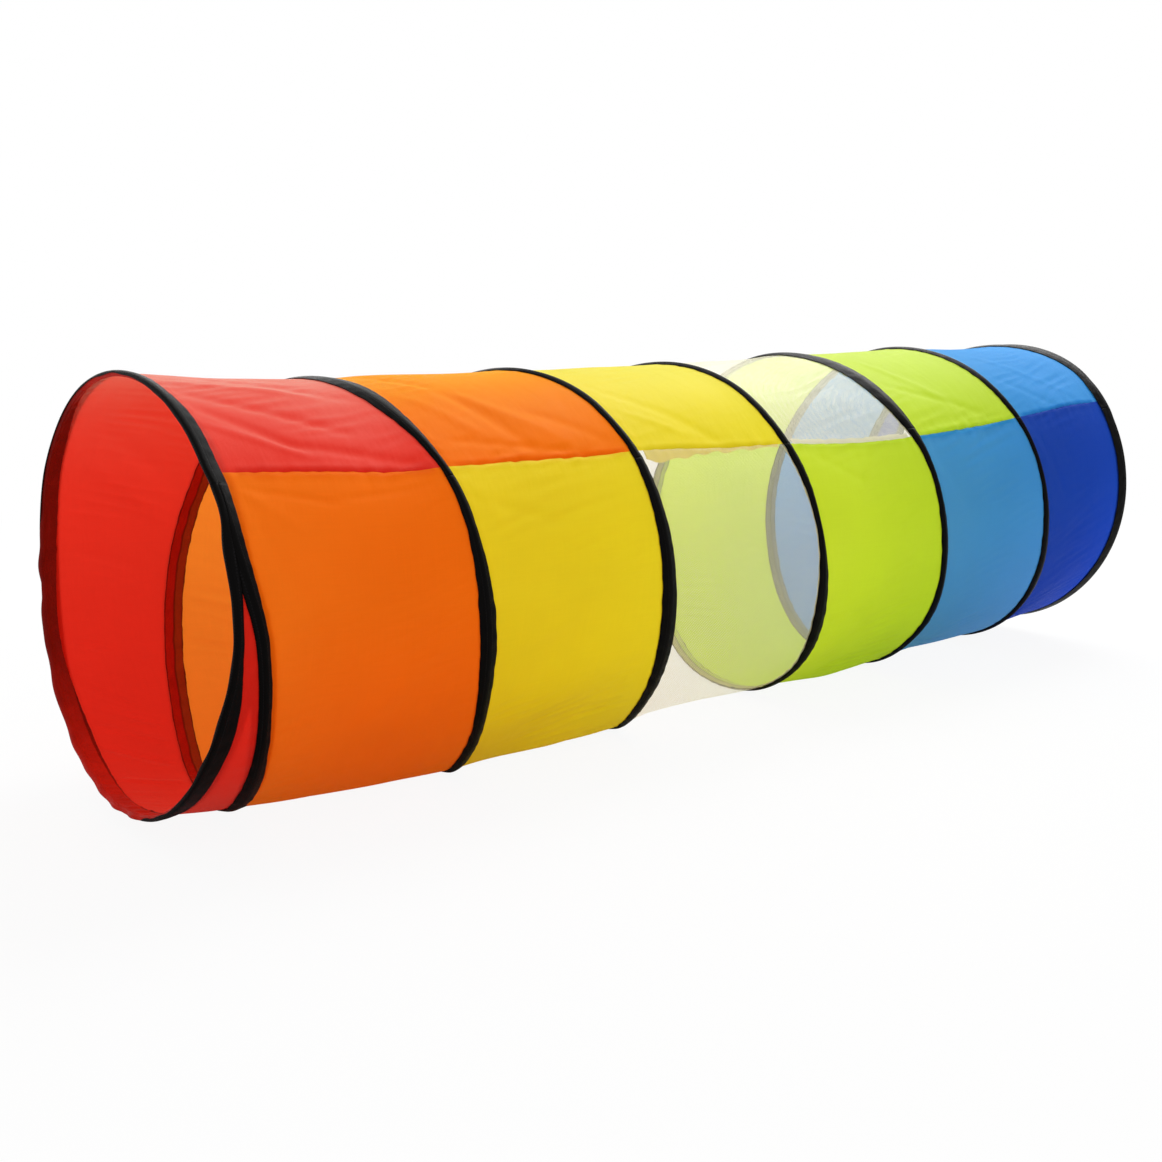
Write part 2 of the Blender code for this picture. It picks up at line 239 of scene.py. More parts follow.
# Full widths of the coil's tape, and how far the near hoop's tape and hem reach past its wire
coil_tape_width = Table(along_coil({
    0: (
        (0, 20.6), (10, 21.2), (20, 18.2), (30, 16), (37, 14.4), (60, 14.8), (68, 16), (75, 18),
        (82, 21.5), (92, 23), (110, 22), (200, 22), (300, 21),
    ),
    1: winding(
        ((-60, 33),),
        (33.4, 29.3, 23, 15.3, 10.4, 11.2, 12.3, 13.4, 17.3, 21.8, 23.4, 21, 18.3, 16.4, 17.5),
        ((110, 22), (300, 22)),
    ),
    2: winding(
        ((-60, 16),),
        (13.2, 14.8, 13.7, 12, 12.6, 14.4, 15.7, 18.1, 20.9, 22.6, 25.4, 25.6, 23.7, 21, 19.3),
        ((110, 22), (290, 22)),
    ),
    3: winding(
        ((-60, 18),),
        (16.1, 14.7, 13.1, 14, 13.3, 14, 14.7, 13.6, 10.1, 12.9, 19.1, 23.2, 24.1, 21.8, 17.5),
        ((110, 22), (280, 22)),
    ),
    4: winding(
        ((-60, 36),),
        (39.3, 35.6, 36, 32.5, 26, 21, 16.7, 12, 12.4, 15.5, 14.7, 14.7, 18.8, 18.9, 18.9),
        ((110, 22), (300, 22)),
    ),
    5: winding(
        ((-60, 20),),
        (20.2, 20, 19.1, 16, 16, 13.7, 11.4, 9.2, 11, 15.1, 16.6, 17.9, 20.9, 19.6, 19.8),
        ((110, 22), (300, 22)),
    ),
    6: ((0, 22),),
}), COIL_RUN)
near_tape_reach = Table((
    (0, 2.2), (10, 3.5), (20, 8.3), (27, 8), (32, 6.6), (37, 7.4), (42, 7.7), (47, 11), (52, 15.4),
    (57, 17.8), (63, 19.3), (110, 18.3), (240, 18.3), (300, 12), (325, 9), (332, 11), (337, 13),
    (350, 12.8), (354, 13.4), (360, 13.4),
), blur=1.5)
NEAR_HEM_FROM = 100
near_hem_reach = Table((
    (100, 20.3), (112, 20.3), (125, 16), (140, 17), (150, 18.4), (167, 20), (183, 16), (198, 11.5),
    (212, 13.3), (231, 16), (257, 13), (274, 6), (285, 2.5), (300, 1.5), (325, 5), (345, 20.3),
), blur=4)
# How far the near hoop is pushed up at its bottom
near_hoop_dent = Table((
    (0, 0), (72, 0), (85, 1), (100, 5), (115, 10), (125, 10.5), (138, 7.8), (150, 7), (158, 3.5),
    (172, 0), (359, 0),
), closed=True)
NEAR_DENT_REACH = 0.062
# How the standing tunnel bows: millimetres past the near hoop and up, at its top and bottom
TUNNEL_END = 1643.0
bow_top = Table((
    (0, 9), (50, 8.3), (100, 7.5), (150, 5), (185, 0), (226, -3), (250, -2.5), (300, 0.5), (350, 2.3),
    (502, 2), (779, 5), (900, 9), (1055, 15), (1331, 21), (1643, 22),
), TUNNEL_END, 20)
bow_bottom = Table((
    (0, 8), (88, 6), (150, 1), (200, 0), (1194, 0), (1400, 4), (1480, 7), (1560, 15), (1643, 20.5),
), TUNNEL_END, 20)
# How the bottom rests flat: millimetres that it stands out by degrees from its lowest line, and
# the thousandths of that by millimetres past the near hoop
FLAT_REACH = 60.0
flat_bottom = Table((
    (0, 0), (3, 0.3), (5, 0.9), (8, 2.3), (10, 3.6), (13, 6.2), (15, 8.2), (17, 9.8), (20, 10.4),
    (24, 8.6), (29, 5.2), (35, 2), (43, 0), (60, 0),
), FLAT_REACH, 1)
flat_along = Table((
    (0, 0), (75, 0), (118, 480), (165, 600), (215, 730), (270, 900), (310, 1000), (590, 1000),
    (640, 500), (665, 0), (930, 100), (970, 400), (1050, 950), (1100, 650), (1160, 200),
    (1200, 0), (1643, 0),
), TUNNEL_END, 15)
LOWEST_ANGLE = 90 + SEAM_ANGLE
# How far up the lengthwise seam stands: millimetres past the near hoop and degrees
seam_rise_along = Table((
    (0, 3.6), (60, 3.4), (110, 2.6), (160, 2.7), (215, 3.4), (276, 3), (415, 2.5), (553, 2.7),
    (608, 2.7), (719, 1.7), (829, 0.2), (940, -1.8), (1050, -3), (1133, -2.6), (1244, -1.4),
    (1354, -0.2), (1437, 1.6), (1548, 3.8), (1643, 4),
), TUNNEL_END, 30)
SEAM_RISE_FADE = 90.0
HELD_BESIDE_WIRE = 0.013
HELD_SHARE = 0.15
UNSWAY_ROUNDS = 16
UNSWAY_KEPT, UNSWAY_MOVED = 0.3, 0.7


def sway(way, angle):
    """Return how far X stands off the even coil: tapes move with their wires, cloth between."""
    turned = angle % FULL_TURN
    last_way, last_sway = 0.0, near_hoop_sway(turned)
    total = last_sway + 0.0 * way
    for turn in range(COIL_TURNS + 1):
        wire_angle = turned + turn * FULL_TURN
        if turn < COIL_TURNS:
            wire_way, wire_sway = coil_way(wire_angle), coil_sway(wire_angle)
        else:
            wire_way, wire_sway = WIRE_SPAN, far_hoop_sway(turned)
        gap = wire_way - last_way
        held = np.minimum(HELD_BESIDE_WIRE, HELD_SHARE * gap)
        share = np.clip((way - last_way - held) / (gap - 2 * held), 0.0, 1.0)
        total = total + (wire_sway - last_sway) * share
        last_way, last_sway = wire_way, wire_sway
    return total


def unsway(swayed, angle):
    """Return the way whose swayed place is this one."""
    way = swayed
    for _ in range(UNSWAY_ROUNDS):
        way = UNSWAY_KEPT * way + UNSWAY_MOVED * (swayed - sway(way, angle))
    return way


def from_seam(angle):
    """Return a turn angle's distance from the nearest turn of the seam, negative above it."""
    return (angle + FULL_TURN / 2) % FULL_TURN - FULL_TURN / 2


def risen(angle, way):
    """Return where a cloth's turn angle stands, with the lengthwise seam risen as in the photo."""
    rise = 1000 * seam_rise_along(1000 * way)
    return angle - rise * smooth(1 - np.abs(from_seam(angle)) / SEAM_RISE_FADE)


def place(way, height, angle):
    """Return points at a height over the wire's centre line, a way past the near hoop."""
    way, height, angle = np.broadcast_arrays(way, height, angle)
    below = np.radians(angle - SEAM_ANGLE)
    dent = near_hoop_dent(angle) * smooth(1 - np.abs(way) / NEAR_DENT_REACH)
    flat = flat_bottom(np.abs(angle % FULL_TURN - LOWEST_ANGLE)) * flat_along(1000 * way)
    radius = WIRE_CENTRE + height - dent + flat
    x = NEAR_X + way + sway(way, angle)
    z = AXIS_HEIGHT - radius * np.sin(below)
    bottom = bow_bottom(1000 * way)
    bow = bottom + (bow_top(1000 * way) - bottom) * z / (2 * AXIS_HEIGHT)
    return np.stack([x, -radius * np.cos(below), z + bow], -1)


def border(width, aside):
    """Return where a hoop's strip meets the coil's, both of this width when there is room."""
    hoop_limit = width - END_REACH
    return np.minimum(hoop_limit, aside * hoop_limit / (hoop_limit + width / 2))


def ferrule_rise(angle):
    """Return how much further the strips stand off the wires beside a ferrule."""
    return FERRULE_RISE * between(angle, -FERRULE_LEAD, FERRULE_LEAD, FERRULE_END, FERRULE_FADE)


def coil_rise(angle):
    return ferrule_rise(angle) + ferrule_rise(COIL_RUN - angle)


# Meshes

def add_object(name, data):
    thing = bpy.data.objects.new(name, data)
    bpy.context.collection.objects.link(thing)
    return thing


def grid_piece(name, points, cloth_map, material, around=False, across=False, capped=False):
    """Add a piece from rows and columns of points; around and across close it on itself."""
    rows, columns = points.shape[:2]
    row_count, column_count = rows - (not around), columns - (not across)
    row, column = np.meshgrid(range(row_count), range(column_count), indexing="ij")
    # Corners of a closed row or column take the map's next value, not its first one again
    corners = ((row, column), (row, column + 1), (row + 1, column + 1), (row + 1, column))
    quads = np.stack([high % rows * columns + aside % columns for high, aside in corners], -1)
    faces = quads.reshape(-1, 4).tolist()
    flat_map = np.stack([cloth_map[corner] for corner in corners], -2).reshape(-1, 2)
    if capped:
        last = (rows - 1) * columns
        faces += [list(range(columns))[::-1], list(range(last, last + columns))]
        caps = [cloth_map[0, :columns][::-1], cloth_map[rows - 1, :columns]]
        flat_map = np.concatenate([flat_map, *caps])
    mesh = bpy.data.meshes.new(name)
    mesh.from_pydata(points.reshape(-1, 3).tolist(), [], faces)
    layer = mesh.uv_layers.new(name="Cloth")
    layer.data.foreach_set("uv", flat_map.astype(np.float32).ravel())
    mesh.polygons.foreach_set("use_smooth", [True] * len(mesh.polygons))
    mesh.materials.append(material)
    mesh.validate()
    mesh.update()
    return add_object(name, mesh)


def dress(piece, body, nodes):
    """Make a piece ride on its body, collapse with it and stand for its solids."""
    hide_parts(*nodes)
    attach(piece, body)
    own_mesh(piece)


# Materials

def srgb(red, green, blue):
    def linear(part):
        part /= 255
        return part / 12.92 if part <= 0.04045 else ((part + 0.055) / 1.055) ** 2.4
    return (linear(red), linear(green), linear(blue), 1.0)


class Nodes:
    """The nodes of a material or world, their inputs given as values or as sockets."""

    def __init__(self, owner, output="ShaderNodeOutputMaterial"):
        self.owner = owner
        self.owner.use_nodes = True
        self.tree = owner.node_tree
        self.tree.nodes.clear()
        self.surface = self.tree.nodes.new(output)

    def node(self, kind, inputs=None, **settings):
        node = self.tree.nodes.new(kind)
        for key, value in settings.items():
            setattr(node, key, value)
        for key, value in (inputs or {}).items():
            if isinstance(value, bpy.types.NodeSocket):
                self.tree.links.new(value, node.inputs[key])
            else:
                node.inputs[key].default_value = value
        return node

    def add(self, kind, inputs=None, **settings):
        """Add a node and return its first output."""
        return self.node(kind, inputs, **settings).outputs[0]

    def math(self, operation, first, second=0.0, third=0.0):
        return self.add("ShaderNodeMath", {0: first, 1: second, 2: third}, operation=operation)

    def times(self, first, second):
        return self.math("MULTIPLY", first, second)

    def size_of(self, value):
        return self.math("ABSOLUTE", value)

    def greater(self, *values):
        return self.math("MAXIMUM", *values)

    def part(self, vector, axis):
        return self.node("ShaderNodeSeparateXYZ", {0: vector}).outputs[axis]

    def cloth(self, scale=(1.0, 1.0), turn=0.0):
        """Return the cloth's own coordinates, in metres times the scale, turned by an angle."""
        inputs = {
            "Vector": self.add("ShaderNodeUVMap", uv_map="Cloth"),
            "Scale": (*scale, 1.0),
            "Rotation": (0.0, 0.0, math.radians(turn)),
        }
        return self.add("ShaderNodeMapping", inputs)

    def own_place(self):
        return self.node("ShaderNodeTexCoord").outputs["Object"]

    def noise(self, vector, scale=1.0, detail=3.0, roughness=0.5):
        inputs = {"Vector": vector, "Scale": scale, "Detail": detail, "Roughness": roughness}
        return self.add("ShaderNodeTexNoise", inputs)

    def spread(self, value, low, high, from_low=0.0, from_high=1.0):
        return self.add("ShaderNodeMapRange", {0: value, 1: from_low, 2: from_high, 3: low, 4: high})

    def bands(self, vector, axis, pitch, start=0.0):
        """Return a wave from 0 to 1 along one axis of the cloth."""
        part = self.part(vector, axis)
        phase = self.math("MULTIPLY_ADD", part, 2 * math.pi / pitch, math.radians(start))
        return self.math("MULTIPLY_ADD", self.math("SINE", phase), 0.5, 0.5)

    def mixed(self, share, first, second, blend="MIX"):
        inputs = {"Factor": share, "A": first, "B": second}
        node = self.node("ShaderNodeMix", inputs, data_type="RGBA", blend_type=blend)
        return node.outputs["Result"]

    def tinted(self, colour, factor):
        """Return a colour times a factor near 1."""
        grey = self.add("ShaderNodeCombineColor", {0: factor, 1: factor, 2: factor})
        return self.mixed(1.0, colour, grey, "MULTIPLY")

    def bump(self, height, distance, normal=None):
        inputs = {"Height": height, "Distance": distance, "Strength": 1.0}
        if normal is not None:
            inputs["Normal"] = normal
        return self.add("ShaderNodeBump", inputs)

    def principled(self, inputs):
        return self.add("ShaderNodeBsdfPrincipled", inputs)

    def shaders(self, share, first, second):
        return self.add("ShaderNodeMixShader", {0: share, 1: first, 2: second})

    def finish(self, shader):
        self.tree.links.new(shader, self.surface.inputs["Surface"])
        return self.owner


def material_nodes(name):
    return Nodes(bpy.data.materials.new(name))


WEAVE_PITCH = 0.0007
WEAVE_HEIGHT = 0.00005


def woven(nodes, normal):
    """Return a normal with a plain weave's relief on it."""
    cloth = nodes.cloth()
    warp = nodes.bands(cloth, 0, WEAVE_PITCH)
    weft = nodes.bands(cloth, 1, WEAVE_PITCH)
    crossing = nodes.times(warp, weft)
    other = nodes.times(nodes.math("SUBTRACT", 1.0, warp), nodes.math("SUBTRACT", 1.0, weft))
    return nodes.bump(nodes.math("ADD", crossing, other), WEAVE_HEIGHT, normal)


TURN_ARC = 2 * math.pi * WIRE_CENTRE
CREST_START = 145.0
# How far the colour is deepened towards the bottom, as painted shade
PAINTED_SHADE_GAMMA = 1.25
SLUB_LONG, SLUB_FINE = 14, 900
FABRIC_CREASES = 0.0009


def fabric_material(name, colour, through, sheen, sheen_tint, translucency=0.34):
    """Thin woven polyester: slubs, faint creases, a soft sheen painted strongest on top, painted
    shade below, light from behind.
    """
    nodes = material_nodes(name)
    slubs_around = nodes.noise(nodes.cloth((SLUB_LONG, SLUB_FINE)), detail=2.0)
    slubs_across = nodes.noise(nodes.cloth((SLUB_FINE, SLUB_LONG)), detail=2.0)
    slubs = nodes.math("ADD", slubs_around, slubs_across)
    clouds = nodes.spread(nodes.noise(nodes.cloth(), 9.0), 0.95, 1.05)
    factor = nodes.times(nodes.spread(slubs, 0.985, 1.015, 0.7, 1.3), clouds)
    creases = nodes.noise(nodes.cloth((9, 34), 12), detail=4.0, roughness=0.6)
    crumple = nodes.bump(creases, FABRIC_CREASES)
    # From 1 along the tunnel's top to 0 along its bottom: painted sheen strongest above, painted
    # shade deepening the colour below
    crest = nodes.bands(nodes.cloth(), 0, TURN_ARC, CREST_START)
    dyed = nodes.tinted(srgb(*colour), factor)
    # Painted shade: the colour is deepened towards the bottom
    depth = nodes.spread(crest, PAINTED_SHADE_GAMMA, 1.0, 0.08, 0.5)
    inputs = {
        "Base Color": nodes.add("ShaderNodeGamma", {0: dyed, 1: depth}),
        "Roughness": nodes.spread(nodes.noise(nodes.cloth(), 60.0), 0.46, 0.6),
        "Normal": woven(nodes, crumple),
        "Specular IOR Level": 0.03,
        # Painted sheen: full along the top, weak lower down
        "Sheen Weight": nodes.spread(crest, 0.15 * sheen, sheen, 0.6, 0.98),
        "Sheen Roughness": 0.5,
        "Sheen Tint": srgb(*sheen_tint),
    }
    lit = {"Color": nodes.tinted(srgb(*through), factor), "Normal": crumple}
    behind = nodes.add("ShaderNodeBsdfTranslucent", lit)
    return nodes.finish(nodes.shaders(translucency, nodes.principled(inputs), behind))


# The net's arcs, in metres along the coil, between which it is drawn together above the seam
NET_GATHERING = (4.08, 4.24)
NET_PITCH = 0.0018
# How much of the pitch a thread takes, where the net is open and where it is drawn together
NET_STRAND, NET_GATHERED = 0.2, 0.41


def net_material(name, colour):
    """White tulle: crossing threads with clear holes, closer where the net is drawn together."""
    nodes = material_nodes(name)
    slanted = nodes.cloth(turn=45)
    arc = nodes.part(nodes.cloth(), 0)
    half_strand = nodes.spread(arc, NET_STRAND / 2, NET_GATHERED / 2, *NET_GATHERING)
    threads = []
    for axis in (0, 1):
        cell = nodes.math("FRACT", nodes.math("DIVIDE", nodes.part(slanted, axis), NET_PITCH))
        off = nodes.size_of(nodes.math("SUBTRACT", cell, 0.5))
        threads.append(nodes.math("LESS_THAN", off, half_strand))
    clouds = nodes.spread(nodes.noise(nodes.cloth(), 14.0), 0.95, 1.03)
    inputs = {
        "Base Color": nodes.tinted(srgb(*colour), clouds),
        "Roughness": 0.5,
        "Specular IOR Level": 0.2,
        "Normal": nodes.bump(nodes.noise(nodes.cloth((10, 30), 10), detail=4.0), 0.002),
    }
    behind = nodes.add("ShaderNodeBsdfTranslucent", {"Color": srgb(*colour)})
    lit = nodes.shaders(0.4, nodes.principled(inputs), behind)
    clear = nodes.add("ShaderNodeBsdfTransparent")
    return nodes.finish(nodes.shaders(nodes.greater(*threads), clear, lit))


TAPE_RIB = 0.0009
STITCH_ROW = 0.0036
STITCH_PITCH = 0.0032
STITCH_HALF = 0.0003


def tape_material():
    """Black grosgrain with fine ribs across it and a row of stitches on each side of the wire."""
    nodes = material_nodes("black_tape")
    cloth = nodes.cloth()
    ribs = nodes.bands(cloth, 0, TAPE_RIB)
    clouds = nodes.noise(cloth, 30.0, 4.0)
    factor = nodes.times(nodes.spread(ribs, 0.85, 1.15), nodes.spread(clouds, 0.8, 1.25))
    aside = nodes.math("SUBTRACT", nodes.size_of(nodes.part(cloth, 1)), STITCH_ROW)
    in_row = nodes.spread(nodes.size_of(aside), 1.0, 0.0, STITCH_HALF, 2 * STITCH_HALF)
    thread = nodes.spread(nodes.bands(cloth, 0, STITCH_PITCH), 0, 1, 0.2, 0.4)
    stitch = nodes.times(in_row, thread)
    crumple = nodes.bump(nodes.noise(nodes.cloth((60, 160))), 0.0006)
    raised = nodes.math("MULTIPLY_ADD", stitch, 3.0, ribs)
    inputs = {
        "Base Color": nodes.mixed(stitch, nodes.tinted(srgb(5, 4, 4), factor), srgb(18, 17, 18)),
        "Roughness": nodes.spread(clouds, 0.34, 0.5),
        "Normal": nodes.bump(raised, 0.00008, crumple),
        "Specular IOR Level": 0.03,
    }
    return nodes.finish(nodes.principled(inputs))


HEM_CREASES = 0.0016
HEM_WANDER = 0.003
HEM_SHADED = 0.34


def hem_material(name, before, beyond, shaded=None, border_at=0.0102):
    """Doubled fabric: the bay before the wire shows its colour, then a dark line of painted fold
    shade, then the next.
    """
    nodes = material_nodes(name)
    cloth = nodes.cloth()
    clouds = nodes.noise(cloth, 40.0, 4.0)
    folds = nodes.noise(nodes.cloth((40, 90)))
    arc, aside = nodes.node("ShaderNodeSeparateXYZ", {0: cloth}).outputs[:2]
    wander = nodes.noise(nodes.cloth((30, 0)), detail=2.0)
    across = nodes.math("ADD", aside, nodes.spread(wander, -HEM_WANDER, HEM_WANDER))
    colour = nodes.mixed(nodes.spread(across, 0, 1, -0.0008, 0.0008), srgb(*before), srgb(*beyond))
    # Darker lines along the edges: the stitching, and painted shade beside it
    stitching_and_edge_shade = nodes.spread(nodes.size_of(aside), 1.0, 0.45, border_at, border_at + 0.001)
    factor = nodes.times(nodes.spread(clouds, 0.75, 1.25), stitching_and_edge_shade)
    if shaded is None:
        # A dark line of painted shade where the hem folds over the wire
        factor = nodes.times(factor, nodes.spread(nodes.size_of(across), 0.5, 1.0, 0.0006, 0.0018))
    else:
        into = nodes.spread(arc, 1.0, 0.0, *shaded[:2])
        out = nodes.spread(arc, 0.0, 1.0, *shaded[2:])
        factor = nodes.times(factor, nodes.spread(nodes.greater(into, out), HEM_SHADED, 1.0))
    inputs = {
        "Base Color": nodes.tinted(colour, factor),
        "Roughness": nodes.spread(folds, 0.45, 0.62),
        "Normal": woven(nodes, nodes.bump(folds, HEM_CREASES)),
        "Specular IOR Level": 0.05,
        "Sheen Weight": 0.06,
        "Sheen Roughness": 0.3,
    }
    return nodes.finish(nodes.principled(inputs))


def steel_material():
    """Drawn spring wire: fine lines and a little oxide."""
    nodes = material_nodes("spring_steel")
    where = nodes.own_place()
    spots = nodes.noise(where, 180.0, 4.0)
    inputs = {
        "Base Color": nodes.tinted(srgb(150, 152, 156), nodes.spread(spots, 0.75, 1.1)),
        "Metallic": 1.0,
        "Roughness": nodes.spread(spots, 0.26, 0.46),
        "Normal": nodes.bump(nodes.noise(where, 900.0, 2.0), 0.00003),
    }
    return nodes.finish(nodes.principled(inputs))


# A cloth's own colour, its colour with light behind it, its painted sheen, full along the top and
# weaker lower down, and the sheen's tint
CLOTHS = {
    "red": ((241, 40, 24), (216, 54, 38), 0.9, (255, 232, 208)),
    "orange": ((252, 106, 6), (238, 154, 50), 0.62, (255, 255, 60)),
    "yellow": ((239, 222, 30), (240, 222, 60), 0.45, (225, 255, 190)),
    "lime": ((199, 227, 40), (218, 236, 66), 0.5, (255, 255, 200), 0.42),
    "light_blue": ((37, 132, 209), (134, 188, 228), 0.6, (90, 190, 255)),
    "dark_blue": ((24, 64, 163), (28, 72, 190), 0.2, (110, 165, 255)),
}
FABRICS = {colour: fabric_material(f"{colour}_fabric", *looks) for colour, looks in CLOTHS.items()}
FABRICS["mesh"] = net_material("mesh_fabric", (241, 236, 219))
# The net lets no allowance show, so its seam edge is a strip of plain cream cloth
EDGE_CLOTH = fabric_material("mesh_edge", (238, 238, 218), (244, 242, 218), 0.1, (255, 255, 240))
# A hem's colours before and beyond its wire
HEM_COLOURS = {
    "red": ((176, 22, 12), (150, 46, 18)),
    "orange": ((165, 66, 18), (150, 110, 30)),
    "yellow": ((150, 130, 40), (150, 146, 110)),
    "mesh": ((182, 182, 132), (192, 210, 84)),
    "lime": ((132, 136, 118), (126, 134, 140)),
    "light_blue": ((70, 92, 116), (50, 64, 100)),
    "dark_blue": ((24, 40, 92), (20, 34, 84)),
}
HEMS = {colour: hem_material(f"{colour}_hem", *pair) for colour, pair in HEM_COLOURS.items()}
# A hem's arcs, in metres round the near hoop, between which it lies in shade
NEAR_HEM_SHADE = (0.62, 0.8, 1.12, 1.2)
NEAR_HEM = hem_material("near_hem", (190, 32, 20), (198, 34, 22), NEAR_HEM_SHADE, 0.0155)
TAPE = tape_material()
STEEL = steel_material()


# How the stitching gathers the cloth beside each wire

GATHER_WAVES = Waves(73, 0.019, 0, 2, 14)
GATHER_DEPTH = 0.0002
GATHER_FROM, GATHER_RUN, GATHER_FADE = 0.003, 0.007, 0.006
GATHER_STRETCH = 0.3


def gather(arc, across):
    """Return how far the gathered cloth stands out, a distance across from its wire."""
    aside = np.abs(across)
    fade = np.exp(-np.clip(aside - TAPE_WIDTH / 2, 0, None) / GATHER_FADE)
    held = past(aside, GATHER_FROM, GATHER_RUN) * fade
    return GATHER_DEPTH * GATHER_WAVES(arc, across * GATHER_STRETCH) * held


# Panels

PANEL_STEP = 0.65
PANEL_EDGE = 0.0018
EDGE_SHARES = np.array([0, 0.014, 0.03, 0.045, 0.055, 0.065, 0.08, 0.1, 0.125, 0.15, 0.18, 0.21])
COLUMN_SHARES = np.concatenate([EDGE_SHARES, np.linspace(0.24, 0.76, 19), 1 - EDGE_SHARES[::-1]])
SEAM_ROWS = np.array([0.12, 0.3, 0.55, 0.95])
FOLDS = Waves(101, 0.034, 2, 7)
PATCHES = Waves(102, 0.30, 40, 60, 12)
SWELLS = Waves(103, 0.16, 10, 30, 12)
SEAM_PUCKERS = Waves(104, 0.022, 90, 6, 14)
FOLD_SLANT = 0.22
FOLD_HEIGHT = 0.0009
FOLD_LEVEL, FOLD_SOFTNESS = 0.9, 0.12
PATCH_LEVEL, PATCH_STRENGTH = 0.55, 0.5
SWELL_HEIGHT = 0.0012
LEAST_ROOM = 0.0001
PUCKER_HEIGHT, PUCKER_REACH = 0.0007, 0.014
# The doubled cloth beside the lengthwise seam, and the groove that its stitches draw in
RIDGE_HEIGHT, RIDGE_ASIDE, RIDGE_HALF = 0.0009, 0.0055, 0.004
GROOVE_DEPTH, GROOVE_HALF = 0.0014, 0.0018

# How far a single fold runs past its ends, and fades there, in shares of its length
CREASE_BEYOND, CREASE_FADE = 0.25, 0.4
# Single folds: the turn angle and millimetres past the near hoop of both ends, then how far
# each stands off the cloth and its half width in millimetres
CREASES = (
    (-166, 28, -170, 63, -1.5, 3.2), (-178, 18, -188, 72, -2, 3.5), (-185, 19, -197, 106, 2, 3.8),
    (-193, 30, -203, 95, -1.8, 3.2), (-201, 27, -211, 81, 2, 3.8), (-216, 29, -221, 83, -1.9, 3.8),
    (-100, 55, -121, 147, -2.0, 12), (-114, 52, -132, 139, 1.6, 10), (-140, 40, -146, 110, -1.2, 9),
    (179, 157, 174, 194, 1.4, 4), (190, 160, 187, 203, -1.4, 5), (161, 136, 162, 153, -1.6, 4),
    (205, 170, 200, 230, 1.0, 7),
    (-42, 10, -34, 153, 1.6, 8), (-25, 26, -11, 102, -2.2, 7), (-19, 22, -8, 108, 1.8, 5),
    (-11, 102, -5, 250, -1.8, 7), (-33, 22, -17, 164, -1.8, 8), (-48, 60, -30, 230, -1.3, 10),
    (306, 288, 351, 392, -2.2, 9), (330, 286, 346, 338, 1.8, 7), (348, 292, 357, 480, -1.4, 6),
    (318, 300, 350, 440, 1.4, 9), (340, 430, 354, 520, -1.4, 7),
    (1, 25, 6, 121, -1.4, 4), (1, 24, 12, 79, 1.3, 4), (2, 24, 14, 44, -1.2, 3.5),
    (1, 250, 5, 133, -1.2, 4), (2, 256, 11, 197, 1.2, 4), (12, 35, 40, 90, -1.2, 9),
    (367, 285, 376, 409, -1.4, 7), (362, 290, 380, 340, 1.2, 5), (392, 325, 392, 448, -1.2, 10),
    (410, 335, 404, 430, 1.2, 9), (60, 110, 78, 200, -1.4, 14), (45, 230, 66, 160, 1.2, 12),
    (690, 560, 716, 700, -1.4, 8), (702, 565, 712, 640, 1.2, 6), (1050, 1060, 1077, 1020, -1.4, 6),
    (1420, 1130, 1436, 1290, -1.4, 7), (1404, 1140, 1430, 1230, 1.3, 7),
    (1448, 1120, 1470, 1190, -1.3, 8), (1085, 870, 1096, 960, -1.2, 6),
    (1082, 1010, 1100, 950, 1.2, 6), (1130, 890, 1150, 990, -1.3, 11),
    (1780, 1400, 1796, 1500, -1.3, 7), (1764, 1420, 1790, 1560, 1.2, 8),
    (1804, 1400, 1830, 1460, -1.2, 8),
)


def creased(arc, way):
    """Return how far the single folds stand off the cloth."""
    total = 0.0 * arc * way
    for from_angle, from_way, to_angle, to_way, depth, half_width in CREASES:
        from_arc = arc_at(from_angle)
        arc_run, way_run = arc_at(to_angle) - from_arc, (to_way - from_way) / 1000
        length = math.hypot(arc_run, way_run)
        arc_off, way_off = arc - from_arc, way - from_way / 1000
        share = (arc_off * arc_run + way_off * way_run) / length**2
        aside = (arc_off * way_run - way_off * arc_run) / length
        fade = between(share, -CREASE_BEYOND, CREASE_FADE, 1 + CREASE_BEYOND, CREASE_FADE)
        total = total + depth / 1000 * np.exp(-((aside * 1000 / half_width) ** 2)) * fade
    return total


def panel_edges(angle):
    """Return the ways of the two edges that a panel has at its turn angle."""
    low = np.where(angle < 0, 0.0, coil_way(angle))
    high = np.where(angle > COIL_RUN - FULL_TURN, WIRE_SPAN, coil_way(angle + FULL_TURN))
    return low + PANEL_EDGE, high - PANEL_EDGE


